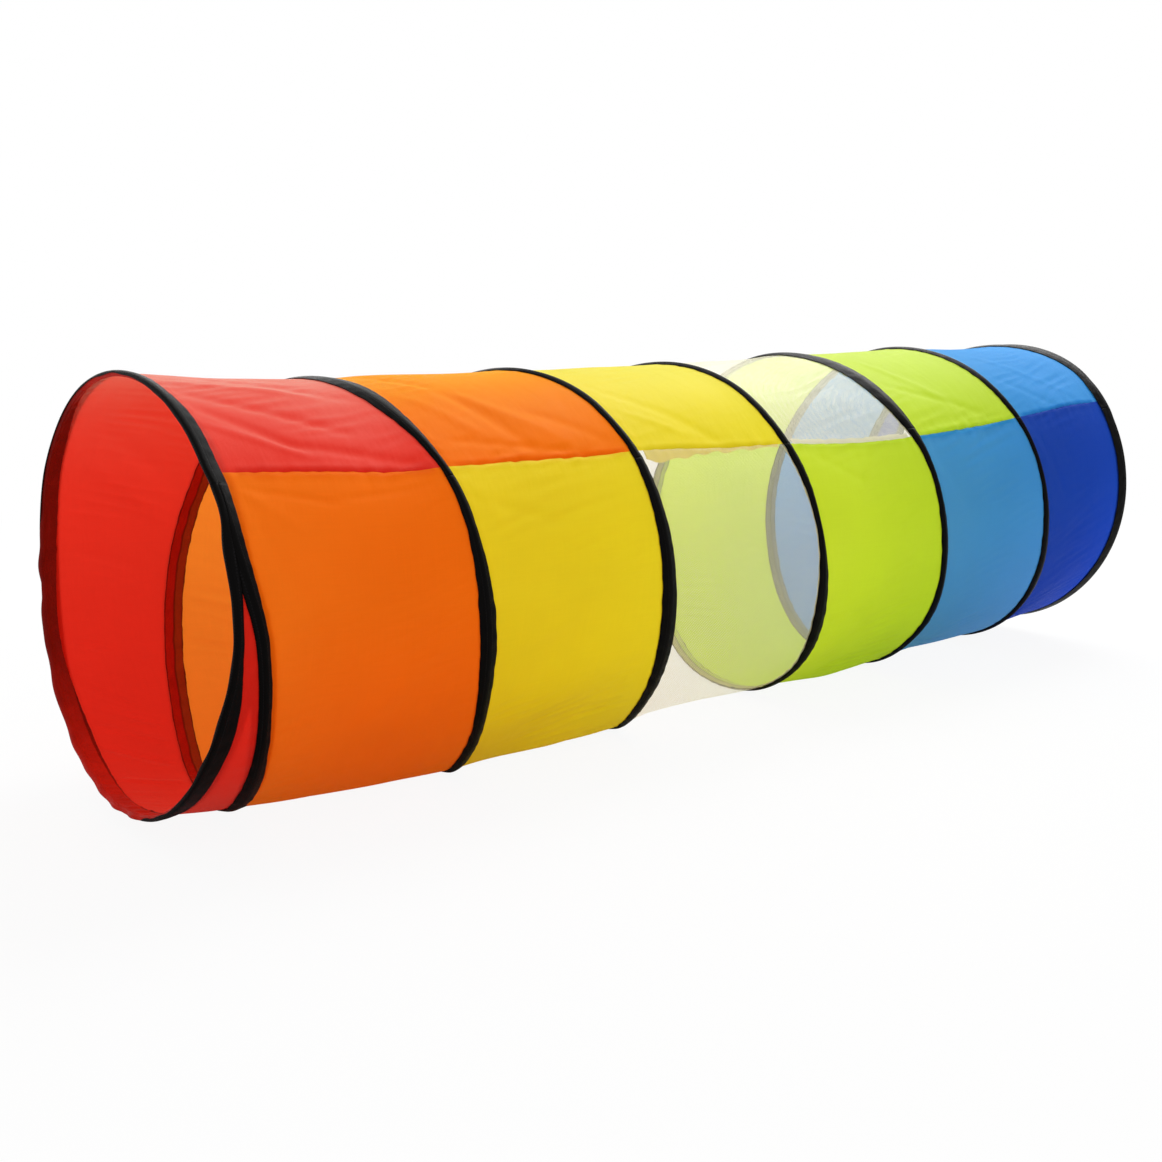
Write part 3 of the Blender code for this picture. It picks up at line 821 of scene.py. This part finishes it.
def panel_height(cloth_angle, angle, way):
    """Return a panel's height over the wire's centre line, where its cloth stands."""
    low, high = panel_edges(angle)
    room = high - low - 2 * PANEL_HELD
    share = np.clip((way - low - PANEL_HELD) / np.maximum(room, LEAST_ROOM), 0, 1)
    free = 4 * share * (1 - share)
    size = np.clip(room / (PITCH - 2 * PANEL_HELD), 0, 1)
    taut = free**0.5
    arc = arc_at(angle)
    height = PANEL_HEIGHT - PANEL_WAIST * size**2 * free - RED_SAG * bump(angle, *RED_SAG_AT) * free
    folds = FOLDS(arc + FOLD_SLANT * way, way)
    ridges = FOLD_LEVEL - np.sqrt(folds * folds + FOLD_SOFTNESS)
    patches = smooth(PATCHES(arc, way) * PATCH_STRENGTH + PATCH_LEVEL)
    height = height + FOLD_HEIGHT * ridges * patches * taut * size + creased(arc, way) * taut
    height = height + SWELL_HEIGHT * SWELLS(arc, way) * free * size
    from_low = way - low + PANEL_EDGE
    from_high = high + PANEL_EDGE - way
    height = height + gather(arc, from_low) + gather(arc + TURN_ARC, from_high)
    seam = arc_at(np.abs(from_seam(cloth_angle)))
    height = height + PUCKER_HEIGHT * SEAM_PUCKERS(arc, way) * np.exp(-seam / PUCKER_REACH) * taut
    height = height + RIDGE_HEIGHT * np.exp(-(((seam - RIDGE_ASIDE) / RIDGE_HALF) ** 2)) * taut
    return height - GROOVE_DEPTH * np.exp(-seam / GROOVE_HALF) * taut


def cloth_places(cloth_angle, share):
    """Return the turn angles and ways of a panel's points, by cloth angle and share across."""
    low, high = panel_edges(cloth_angle)
    angle = risen(cloth_angle, low + share * (high - low))
    low, high = panel_edges(angle)
    return angle, low + share * (high - low)


def panel_angles(start, end):
    """Return a panel's row angles, close together beside its seams."""
    rows = np.linspace(start, end, int((end - start) / PANEL_STEP) + 1)
    return np.unique(np.concatenate([rows, start + SEAM_ROWS, end - SEAM_ROWS]))


def make_panel(index):
    """Add one fabric panel between two wires and return it with its flat size and area."""
    colour = PANELS[index]
    first, last = index == 0, index == COIL_TURNS
    start = (index - 1) * FULL_TURN
    end = start + FULL_TURN
    angles = panel_angles(start + PANEL_START * first, end - PANEL_START * last)[:, None]
    low, high = panel_edges(angles)
    turned, way = cloth_places(angles, COLUMN_SHARES[None, :])
    points = place(way, panel_height(angles, turned, way), turned)
    arc = arc_at(angles)
    cloth_map = np.stack(np.broadcast_arrays(arc, way), -1)
    piece = grid_piece(f"{colour}_cloth", points, cloth_map, FABRICS[colour])
    width = (high - low)[:, 0]
    area = float(np.sum((width[1:] + width[:-1]) / 2 * np.diff(arc[:, 0])))
    flat = (float(width.max()), float(arc[-1, 0] - arc[0, 0]))
    body = "near_end" if first else "far_end" if last else f"turn_{index}"
    dress(piece, body, [f"{colour}_panel"])
    return piece, flat, min(area, flat[0] * flat[1])


# Tapes

TAPE_STEP = 0.6
EDGE_WAVES = Waves(71, 0.045, 0, 1, 10)
OTHER_EDGE_WAVES = Waves(72, 0.04, 0, 1, 10)
EDGE_WOBBLE = 0.00025
# Shares across a strip of its outer face's points, and back across its under face
OUTER_SHARES = np.array(
    [0, 0.03, 0.08, 0.15, 0.24, 0.34, 0.43, 0.5, 0.57, 0.66, 0.76, 0.85, 0.92, 0.97, 1]
)
UNDER_SHARES = np.array([0.985, 0.8, 0.6, 0.5, 0.4, 0.2, 0.015])
STRIP_SHARES = np.concatenate([OUTER_SHARES, UNDER_SHARES])[None, :]
IS_OUTER = np.arange(STRIP_SHARES.size) < OUTER_SHARES.size
CROWN_POWER, CROWN_ROOM, CROWN_LIMIT = 1.25, 0.0006, 1.15
# How much lower a tape's faces lie at its very edges, and over what share of its width
EDGE_ROUNDING, EDGE_SHARE = 0.3 * TAPE_THICKNESS, 0.03


def crowned(across, low_full, high_full):
    """Return a strip's height at a place across it: full over the wire, low at its edges."""
    full = np.where(across < 0, low_full, high_full)
    room = np.maximum(full - TAPE_FLAT, CROWN_ROOM)
    slope = np.clip((np.abs(across) - TAPE_FLAT) / room, 0, CROWN_LIMIT)
    return TAPE_BRIM + (TAPE_TOP - TAPE_BRIM) * (1 - slope**CROWN_POWER)


def tape_profile(low, high, low_full, high_full, arc):
    """Return (across, height) of the coil tape's closed profile at each row."""
    low, high, low_full, high_full, arc = (
        row[:, None] for row in (low, high, low_full, high_full, arc)
    )
    across = low + STRIP_SHARES * (high - low)
    edge = np.minimum(STRIP_SHARES, 1 - STRIP_SHARES)
    rounding = EDGE_ROUNDING * np.clip(1 - edge / EDGE_SHARE, 0, 1)
    height = np.minimum(crowned(across, low_full, high_full) + gather(arc, across), TAPE_TOP)
    return across, height - np.where(IS_OUTER, rounding, TAPE_THICKNESS - rounding)


def make_strip(name, angles, way, profile, rise, material, around):
    """Add a tape or hem with its profile at each turn angle, raised off its wire."""
    across, height = profile
    points = place(way[:, None] + across, height + rise[:, None], angles[:, None])
    arc = arc_at(angles)
    map_v = np.concatenate([across, across[:, :1]], 1)
    if around:
        arc = np.append(arc, TURN_ARC)
        map_v = np.concatenate([map_v, map_v[:1]], 0)
    cloth_map = np.stack(np.broadcast_arrays(arc[:, None], map_v), -1)
    return grid_piece(name, points, cloth_map, material, around, True, not around)


# Turn angles beside either end of the coil where its strips follow the hoops' own
ALONG_HOOP = 40
BESIDE_HOOP = 90
# From which turn angle on, and over how many degrees, a strip's crown leaves its hoop's one
PARTING = (8, 20)
# The same for the waves of its edges
APART = (60, 30)
HIGH_EDGE_FREE = (10, 20)
FAR_EDGE_FREE = (*APART, FULL_TURN - 5, 15)


def coil_edges(width, angle):
    """Return how far a coil's strip reaches either way from its wire."""
    way = coil_way(angle)
    half = width / 2
    low = np.maximum(border(width, way) - way, -half)
    high = np.minimum(WIRE_SPAN - border(width, WIRE_SPAN - way) - way, half)
    # Beside the hoops the coil's strip carries on the line of the hoop's own strip
    high = np.where(angle < ALONG_HOOP, np.maximum(high, width - END_REACH - way), high)
    far_line = WIRE_SPAN - width + END_REACH - way
    return np.where(angle > COIL_RUN - ALONG_HOOP, np.minimum(low, far_line), low), high


def turn_angles(turn):
    start = (turn - 1) * FULL_TURN
    return start + np.linspace(0, FULL_TURN, round(FULL_TURN / TAPE_STEP) + 1)


def edge_wobble(arc):
    return EDGE_WOBBLE * EDGE_WAVES(arc, 0.0), EDGE_WOBBLE * OTHER_EDGE_WAVES(arc, 0.0)


def near_tape_edge(angles):
    """Return the swayed place of the near hoop tape's edge at each turn angle."""
    return near_hoop_sway(angles) + near_tape_reach(angles)


def far_free(angles):
    """Return 1 on the coil and 0 where its strips have joined the far hoop's."""
    start, run = APART
    return smooth((COIL_RUN - start - angles) / run)


def make_coil_tape(turn):
    """Add one turn of the coil's tape, which parts from the near hoop's and joins the far one's."""
    angles = turn_angles(turn)
    arc = arc_at(angles)
    low, high = coil_edges(TAPE_WIDTH, angles)
    low_wobble, high_wobble = edge_wobble(arc)
    half = coil_tape_width(angles) / 2
    free = far_free(angles)
    way = coil_way(angles)
    if turn == 1:
        # Its low edge lies along the hoop's tape until the two part
        wire = way + coil_sway(angles)
        near_edge = near_tape_edge(np.minimum(angles, FULL_TURN))
        low = unsway(np.maximum(wire - half, near_edge), angles) - way
        low_wobble = low_wobble * past(angles, *APART)
        high = half
        high_wobble = high_wobble * past(angles, *HIGH_EDGE_FREE)
    else:
        low = np.where(angles < COIL_RUN - BESIDE_HOOP, -half, low)
        high = np.where(angles < COIL_RUN - BESIDE_HOOP, half, high)
    parted = past(angles, *PARTING) * free
    low_full = TAPE_WIDTH / 2 + (-low - TAPE_WIDTH / 2) * parted
    high_full = TAPE_WIDTH / 2 + (high - TAPE_WIDTH / 2) * parted
    low, high = low + low_wobble * free, high + high_wobble * free
    profile = tape_profile(low, high, low_full, high_full, arc)
    return make_strip(f"binding_tape_{turn}", angles, way, profile, coil_rise(angles), TAPE, False)


# How far the coil's hem stays inside its tape's edges, and the angles where it would show
HEM_HIDDEN = 0.0004
HEM_OUTSIDE = (-80, 20, 130, 20)
HEM_CRINKLES = Waves(75, 0.017, 20, 14, 16)
CRINKLE_HEIGHT, CRINKLE_MIDDLE, CRINKLE_ASIDE = 0.00035, 0.0003, 0.003
HEM_RIDGE, HEM_RIDGE_HALF = 0.0012, 0.0024
# How much further on along the waves a hem's edges are taken than its tape's
HEM_WAVES_SHIFT = 3.3


def hem_half(angles):
    """Return half the coil hem's width, on the near side no more than its tape's."""
    half = HEM_WIDTH / 2
    turned = (angles + FULL_TURN / 4) % FULL_TURN - FULL_TURN / 4
    hidden = np.minimum(coil_tape_width(angles) / 2 - HEM_HIDDEN, half)
    return half + (hidden - half) * between(turned, *HEM_OUTSIDE)


def hem_inside(across, arc):
    """Return the height of a hem's inner face: a ridge under the wire and crinkled sides."""
    ridge = HEM_RIDGE * np.exp(-((across / HEM_RIDGE_HALF) ** 2))
    beside = 1 - np.exp(-((across / CRINKLE_ASIDE) ** 2))
    crinkle = CRINKLE_HEIGHT * HEM_CRINKLES(arc, across) * beside
    return HEM_TOP - HEM_THICKNESS - ridge - np.clip(crinkle + CRINKLE_MIDDLE, 0, None)


def make_coil_hem(turn, colour):
    """Add one turn of the doubled fabric inside the coil's wire."""
    angles = turn_angles(turn)
    arc = arc_at(angles)
    low, high = coil_edges(HEM_WIDTH, angles)
    apart = (angles > BESIDE_HOOP) & (angles < COIL_RUN - BESIDE_HOOP)
    half = hem_half(angles)
    low_wobble, high_wobble = edge_wobble(arc + HEM_WAVES_SHIFT)
    low = np.where(apart, -half, low) + low_wobble * past(angles, *APART)
    high = np.where(apart, half, high) + high_wobble * far_free(angles)
    across = low[:, None] + STRIP_SHARES * (high - low)[:, None]
    arc = arc[:, None]
    height = np.where(IS_OUTER, hem_inside(across, arc), HEM_TOP) + gather(arc, across)
    profile = across, height
    way, rise = coil_way(angles), -coil_rise(angles)
    return make_strip(f"inner_hem_{turn}", angles, way, profile, rise, HEMS[colour], False)


# The turn angle of a hoop strip's last row, just short of its first one
RING_END = 359.98


def ring_angles(step):
    return np.arange(round(FULL_TURN / step)) * step


def hoop_edge(width, side, angles):
    """Return the edge of a hoop's strip, narrower while the coil's strip lies beside it."""
    if side == "near":
        return border(width, coil_way(angles))
    return border(width, WIRE_SPAN - coil_way(COIL_RUN - FULL_TURN + angles))


WRAP_RADIUS = 0.0029
WRAP_LENGTH = WRAP_RADIUS * math.pi / 2
LIP_LENGTH, LIP_WOBBLE = 0.0016, 1.6
TAPE_START = -END_REACH + WRAP_RADIUS
# Shares along a hoop tape's outer face, and back along the face that is tucked under
TAPE_SHARES = np.array(
    [0, 0.03, 0.06, 0.09, 0.12, 0.15, 0.18, 0.22, 0.27, 0.34, 0.42, 0.5, 0.6, 0.7, 0.8, 0.88, 0.94]
    + [0.98, 1]
)
TUCK_SHARES = np.array([0.97, 0.8, 0.6, 0.42, 0.27, 0.18, 0.12, 0.06, 0.01])
# Start, rise, end and fall of the turn angles where the near hoop's hem is rolled out and shows
ROLLED = (106.0, 10.0, 236.0, 20.0)
# The same beyond them, where its tape is shorter under the wire
SHORTENED = (236.0, 20, 322.0, 20)
TOP_LIP = 0.7
ROLLED_START = 0.0012
ROLL_RADIUS = 0.0033
TUCKED_RADIUS = 0.0024
ROLL_TURNS = np.radians(np.array([-50, -25, 0, 25, 50, 75, 95]))
# The rolled hem's lumps, flatter where the tunnel stands on them
ROLL_SCALLOPS = Waves(78, 0.055, 0, 1, 4)
LUMP_LEVEL, LUMP_STRENGTH, LUMP_LIMIT = 0.5, 0.36, 1.2
LUMP_FRONT, LUMP_UPPER = 0.0026, 0.0018
UPPER_LIMIT, UPPER_ROLLED = 0.0021, 0.0026
OFF_FLOOR_ANGLE = 30
# How far a turned hem's outer face is pushed out below, and its under face lies inside that
LOW_CORNER, UNDER_ACROSS, UNDER_HEIGHT = 0.0004, 0.0006, 0.0005
HOOP_HEM_START = -0.0012


def wrapped(run, full, thickness):
    """Return (across, height) of a hoop's tape at a run along it from the top of its wire."""
    radius = WRAP_RADIUS - thickness
    turn = np.clip(-run / WRAP_RADIUS, 0, math.pi / 2)
    below = np.clip(-run - WRAP_LENGTH, 0, None)
    over = np.clip(run, 0, None)
    across = TAPE_START + over - radius * np.sin(turn)
    crown = crowned(across, full, full)
    around = TAPE_TOP - WRAP_RADIUS + radius * np.cos(turn) - below
    return across, np.where(run > 0, crown - thickness, around)


def hoop_tape_profile(side, angles):
    """Return the profile of a hoop's tape: over the wire, round its front and back under it."""
    arc = arc_at(angles)
    wobble, lip_wobble = edge_wobble(arc)
    edge = hoop_edge(TAPE_WIDTH, side, angles)
    start = -WRAP_LENGTH - LIP_LENGTH + LIP_WOBBLE * lip_wobble
    full = np.full(len(angles), TAPE_WIDTH - END_REACH)
    if side == "near":
        edge = unsway(near_tape_edge(angles), angles)
        full = full + (edge - full) * past(angles, *PARTING)
        start = start + TOP_LIP * LIP_LENGTH * between(angles, *SHORTENED)
        start = start + (ROLLED_START - start) * between(angles, *ROLLED)
    else:
        edge = edge + wobble * between(FULL_TURN - angles, *FAR_EDGE_FREE)
    length = (edge - TAPE_START - start)[:, None]
    outer = wrapped(start[:, None] + TAPE_SHARES * length, full[:, None], 0.0)
    inner = wrapped(start[:, None] + TUCK_SHARES * length, full[:, None], TAPE_THICKNESS)
    across, height = np.concatenate([outer, inner], -1)
    return across, np.minimum(height + gather(arc[:, None], across), TAPE_TOP)


def hoop_hem_profile(side, angles):
    """Return the profile of a hoop's hem: round the wire's front, rolled out where it shows."""
    arc = arc_at(angles[:, None])
    edge = hoop_edge(HEM_WIDTH, side, angles)
    roll = 0.0 * arc
    if side == "near":
        edge = np.where(angles > NEAR_HEM_FROM, near_hem_reach(angles), edge)
        roll = between(angles[:, None], *ROLLED)
    length = edge[:, None] - HOOP_HEM_START
    inside = HOOP_HEM_START + OUTER_SHARES[::-1] * length
    inside_height = hem_inside(inside, arc) + gather(arc, inside)
    lumps = np.clip(LUMP_LEVEL + LUMP_STRENGTH * ROLL_SCALLOPS(arc, 0.0), 0, LUMP_LIMIT) * roll
    off_floor = smooth(np.abs(angles[:, None] - LOWEST_ANGLE) / OFF_FLOOR_ANGLE)
    radius = TUCKED_RADIUS + (ROLL_RADIUS - TUCKED_RADIUS) * roll
    front = radius + LUMP_FRONT * lumps
    upper_limit = UPPER_LIMIT + UPPER_ROLLED * off_floor * roll
    upper = np.minimum(radius + LUMP_UPPER * lumps * off_floor, upper_limit)
    turn = ROLL_TURNS[None, :]
    round_across = -front * np.cos(turn)
    round_height = np.where(turn < 0, front + LOW_CORNER, upper) * np.sin(turn)
    turn = turn[:, ::-1]
    under_across = -(front - UNDER_ACROSS) * np.cos(turn)
    under_height = np.where(turn < 0, front, upper - UNDER_HEIGHT) * np.sin(turn)
    back_across = HOOP_HEM_START + OUTER_SHARES[::3] * length
    back_height = HEM_TOP + gather(arc, back_across)
    across = np.concatenate([inside, round_across, under_across, back_across], 1)
    return across, np.concatenate([inside_height, round_height, under_height, back_height], 1)


def make_hoop_strips(side):
    """Add a hoop's tape, folded over the end, and the hem inside it."""
    angles = np.append(ring_angles(TAPE_STEP), RING_END)
    near = side == "near"
    rise = ferrule_rise(from_seam(angles if near else FULL_TURN - angles))
    way = np.full(len(angles), 0.0 if near else WIRE_SPAN)
    strips = []
    for name, profile, stands, material in (
        ("tape", hoop_tape_profile, rise, TAPE),
        ("hem_cloth", hoop_hem_profile, -rise, NEAR_HEM if near else HEMS["dark_blue"]),
    ):
        across, height = profile(side, angles)
        mirrored = (across if near else -across), height
        name = f"{side}_hoop_{name}"
        strips.append(make_strip(name, angles, way, mirrored, stands, material, True))
    return strips


# Wires

WIRE_CORNERS = 10
WIRE_STEP = 4.0
CORNER_PITCH = 0.001


def tube_map(run, corners, pitch=CORNER_PITCH):
    """Return a tube's coordinates: its run, and a pitch from corner to corner."""
    return np.stack(np.meshgrid(run, np.arange(corners + 1) * pitch, indexing="ij"), -1)


def make_wire(name, angles, way, around):
    """Add a round wire through the turn angles and ways, closed to a ring or with two ends."""
    turn = 2 * np.pi * np.arange(WIRE_CORNERS) / WIRE_CORNERS
    across = WIRE_RADIUS * np.cos(turn)
    points = place(way[:, None] + across, WIRE_RADIUS * np.sin(turn), angles[:, None])
    arc = arc_at(np.append(angles, angles[0] + FULL_TURN))
    return grid_piece(name, points, tube_map(arc, WIRE_CORNERS), STEEL, around, True, not around)


# Crimped sleeves that hold the coil's ends against the hoops

SLEEVE_FROM, SLEEVE_TO = 0.97, 5.8
SLEEVE_STEPS = 24
SLEEVE_WALL = 0.001
SLEEVE_CORNERS = 24
SLEEVE_ROUNDING, SLEEVE_END = 0.0003, 0.15
CRIMPS = (2.2, 4.5)
CRIMP_DEPTH, CRIMP_HALF = 0.0004, 0.35
SLEEVE_DEGREES_PER_METRE = 240


def make_sleeve(side):
    """Add an oval sleeve round a hoop's wire and the coil's end, crimped in two places."""
    angles = np.linspace(SLEEVE_FROM, SLEEVE_TO, SLEEVE_STEPS + 1)
    dent = sum(np.exp(-(((angles - crimp) / CRIMP_HALF) ** 2)) for crimp in CRIMPS) * CRIMP_DEPTH
    end = np.minimum(angles - SLEEVE_FROM, SLEEVE_TO - angles)
    rounding = SLEEVE_ROUNDING * np.clip(1 - end / SLEEVE_END, 0, 1)
    radius = (WIRE_RADIUS + SLEEVE_WALL - dent - rounding)[:, None]
    turn = 2 * np.pi * (np.arange(SLEEVE_CORNERS) + 0.5)[None, :] / SLEEVE_CORNERS
    middle = coil_way(angles)[:, None] / 2
    way = middle + np.sign(np.cos(turn)) * middle + radius * np.cos(turn)
    if side == "far":
        way, angles = WIRE_SPAN - way, FULL_TURN - angles
    points = place(way, radius * np.sin(turn), angles[:, None])
    cloth_map = tube_map(angles / SLEEVE_DEGREES_PER_METRE, SLEEVE_CORNERS)
    return grid_piece(f"{side}_crimp_sleeve", points, cloth_map, STEEL, False, True, True)


# Allowances of the lengthwise seam, inside

ALLOWANCE_HALF = 0.006
ALLOWANCE_THICKNESS = 0.0006
ALLOWANCE_STEPS = 90
ALLOWANCE_SHARES = np.array([-1.0, -0.95, -0.6, -0.25, 0.0, 0.25, 0.6, 0.95, 1.0])[None, :]
ALLOWANCE_RUFFLE = Waves(81, 0.045, 90, 2, 10)
RUFFLE_SHARE = 0.12
# How far it stays clear of the tapes' hems and of the cloth, and hangs off towards its edges
ALLOWANCE_MARGIN, ALLOWANCE_CLEAR, ALLOWANCE_HANG = 0.001, 0.0004, 0.0008
NET_SEAM = 3
NET_SEAM_BEYOND = 4
# How wide the allowance beyond the net is, above and below the seam, in shares of the others
BEYOND_ABOVE, BEYOND_BELOW = 1.4, 0.85
# How far the net's first allowance hangs down, in shares of the others, by millimetres on
HANGING = ((0, 2.5), (40, 2.6), (75, 1.9), (110, 1.1), (160, 0.8), (230, 0.45))


def make_allowance(number, colour):
    """Add the turned-in edges of the seam between one panel's end and the next one's start."""
    seam = (number - 1) * FULL_TURN
    low, high = panel_edges(np.array([float(seam)]))
    hoop_margin, coil_margin = HEM_WIDTH, HEM_WIDTH / 2 + ALLOWANCE_MARGIN
    start = low[0] + (hoop_margin if number == 1 else coil_margin)
    end = high[0] - (hoop_margin if number == COIL_TURNS else coil_margin)
    ways = np.linspace(start, end, ALLOWANCE_STEPS)[:, None]
    wave = ALLOWANCE_RUFFLE(0.0, ways)
    shares = ALLOWANCE_SHARES
    width = math.degrees(ALLOWANCE_HALF / WIRE_CENTRE) * (1 + RUFFLE_SHARE * wave)
    if number == NET_SEAM:
        longer = np.interp(1000 * (ways - start), *np.array(HANGING).T)
        width = np.where(shares > 0, width * longer, width)
    elif number == NET_SEAM_BEYOND:
        width = np.where(shares > 0, BEYOND_BELOW, BEYOND_ABOVE) * width
    angles = seam + shares * width
    stands = risen(angles, ways)
    seam_line = np.full_like(angles, seam)
    on_seam = panel_height(seam_line, risen(seam_line, ways), ways)
    lowest = np.minimum(panel_height(angles, stands, ways), on_seam)
    hang = ALLOWANCE_HANG * np.abs(shares) * (1 + np.clip(wave, -1, 1))
    top = lowest - ALLOWANCE_CLEAR - hang
    inner = place(ways, top - ALLOWANCE_THICKNESS, stands)[:, ::-1]
    points = np.concatenate([place(ways, top, stands), inner], 1)
    cloth_map = tube_map(ways[:, 0], points.shape[1], ALLOWANCE_HALF / 4)[..., ::-1]
    material = EDGE_CLOTH if colour == "mesh" else FABRICS[colour]
    return grid_piece(f"seam_edge_{number}", points, cloth_map, material, False, True, True)


# Put the tunnel together

for turn in range(1, COIL_TURNS + 1):
    colour = PANELS[turn - 1]
    made = (
        (make_coil_tape(turn), "coil_binding", "black_tape"),
        (make_coil_hem(turn, colour), "coil_hem", f"{colour}_hem"),
        (make_allowance(turn, colour), "seam_allowance", f"{colour}_fabric"),
    )
    for piece, node, slot in made:
        dress(piece, f"turn_{turn}", [f"{node}_{turn}"])

for side, anchor, colour in (("near", 0.0, "red"), ("far", WIRE_SPAN, "dark_blue")):
    tape, hem = make_hoop_strips(side)
    angles = ring_angles(WIRE_STEP)
    wire = make_wire(f"{side}_hoop_ring", angles, np.full(len(angles), anchor), True)
    made = (
        (tape, "hoop_binding", "black_tape"),
        (hem, "hoop_hem", f"{colour}_hem"),
        (wire, "hoop_wire", "spring_steel"),
        (make_sleeve(side), "ferrule", "spring_steel"),
    )
    for piece, node, slot in made:
        dress(piece, f"{side}_end", [f"{side}_{node}"])

coil_angles = np.linspace(0, COIL_RUN, int(COIL_RUN / WIRE_STEP) + 1)
coil = make_wire("coil_spring", coil_angles, coil_way(coil_angles), False)
dress(coil, "near_end", ["coil_wire"])

# Each panel is held between the tape before it and the one after it, whose hem trims it
for index in range(len(PANELS)):
    piece, flat, area = make_panel(index)

# Camera, fitted to the photograph

AZIMUTH = math.radians(-41.30583)
ELEVATION = math.radians(9.90331)
CAMERA_DISTANCE = 2.07949
CAMERA_RIGHT = -0.13865
CAMERA_UP = -0.06551
FOCAL_PIXELS = 1458.41
FRAME_PIXELS = 1162
SENSOR = 36.0


def add_camera():
    level = math.cos(ELEVATION)
    back = Vector((math.sin(AZIMUTH) * level, -math.cos(AZIMUTH) * level, math.sin(ELEVATION)))
    right = Vector((math.cos(AZIMUTH), math.sin(AZIMUTH), 0.0))
    up = back.cross(right)
    data = bpy.data.cameras.new("photo_camera")
    data.sensor_width = SENSOR
    data.lens = FOCAL_PIXELS / FRAME_PIXELS * SENSOR
    data.clip_end = 60.0
    camera = add_object("photo_camera", data)
    camera.location = (
        Vector((0, 0, AXIS_HEIGHT)) + back * CAMERA_DISTANCE + right * CAMERA_RIGHT + up * CAMERA_UP
    )
    camera.rotation_euler = Matrix((right, up, back)).transposed().to_euler()
    bpy.context.scene.camera = camera


# Light, floor and background

LIT_POINT = Vector((0, 0, 0.2))
# A lamp's name, place and size in metres, and power in watts
LAMPS = (
    ("key_light", (1.7, 0.6, 2.4), (1.6, 3.0), 92),
    ("back_light", (0.4, 3.2, 1.5), (3.0, 1.6), 35),
    ("near_light", (-1.6, -3.0, 1.6), (2.4, 1.6), 18),
)
WORLD_LIGHT = 0.66


def add_lamp(name, stand, size, power):
    data = bpy.data.lights.new(name, "AREA")
    data.shape = "RECTANGLE"
    data.size, data.size_y = size
    data.energy = power
    lamp = add_object(name, data)
    lamp.location = stand
    lamp.rotation_euler = (LIT_POINT - Vector(stand)).to_track_quat("-Z", "Y").to_euler()


def add_world():
    """Add even light, behind which the camera and reflections see plain white."""
    nodes = Nodes(bpy.data.worlds.new("studio"), "ShaderNodeOutputWorld")
    path = nodes.node("ShaderNodeLightPath").outputs
    seen = nodes.greater(path["Is Camera Ray"], path["Is Glossy Ray"])
    seen = nodes.greater(seen, path["Is Transmission Ray"])
    inputs = {"Color": (1.0, 1.0, 1.0, 1.0), "Strength": nodes.spread(seen, WORLD_LIGHT, 1.0)}
    bpy.context.scene.world = nodes.finish(nodes.add("ShaderNodeBackground", inputs))


FLOOR_SIZE = 9.0
FLOOR_GAP = 0.0004
FLOOR_GREY = 0.75
FLOOR_SEEN = 0.92
FLOOR_CORNERS = 64
FLOOR_RINGS, FLOOR_SPREAD = 12, 1.5
FLOOR_HOLE = 0.001


def floor_material():
    """Pale floor that the camera sees as nearly white, with the tunnel's shadow kept."""
    nodes = material_nodes("pale_floor")
    path = nodes.node("ShaderNodeLightPath").outputs
    seen = nodes.greater(path["Is Camera Ray"], path["Is Transmission Ray"])
    grey = (FLOOR_GREY, FLOOR_GREY, FLOOR_GREY, 1)
    diffuse = nodes.add("ShaderNodeBsdfDiffuse", {"Color": grey})
    white = nodes.add("ShaderNodeEmission", {"Color": (1, 1, 1, 1), "Strength": 1.0})
    length = nodes.node("ShaderNodeVectorMath", {0: nodes.own_place()}, operation="LENGTH")
    away = length.outputs["Value"]
    seen_share = nodes.times(seen, nodes.spread(away, FLOOR_SEEN, 1.0, 1.2, 2.6))
    mirrored = nodes.times(path["Is Glossy Ray"], nodes.spread(away, 0.0, 1.0, 1.6, 4.5))
    return nodes.finish(nodes.shaders(nodes.greater(seen_share, mirrored), diffuse, white))


def add_floor():
    """Add a round floor of rings."""
    shares = np.linspace(0.0, 1.0, FLOOR_RINGS)[:, None]
    radii = shares**FLOOR_SPREAD * FLOOR_SIZE + FLOOR_HOLE
    turn = 2 * np.pi * np.arange(FLOOR_CORNERS + 1) / FLOOR_CORNERS
    x, y = radii * np.cos(turn), radii * np.sin(turn)
    rings = np.stack([x, y, np.full_like(x, -FLOOR_GAP)], -1)[:, :FLOOR_CORNERS]
    floor = grid_piece("floor", rings, np.stack([x, y], -1), floor_material(), across=True)


add_camera()
add_world()
for lamp in LAMPS:
    add_lamp(*lamp)
add_floor()

scene = bpy.context.scene
scene.view_settings.view_transform = "Standard"
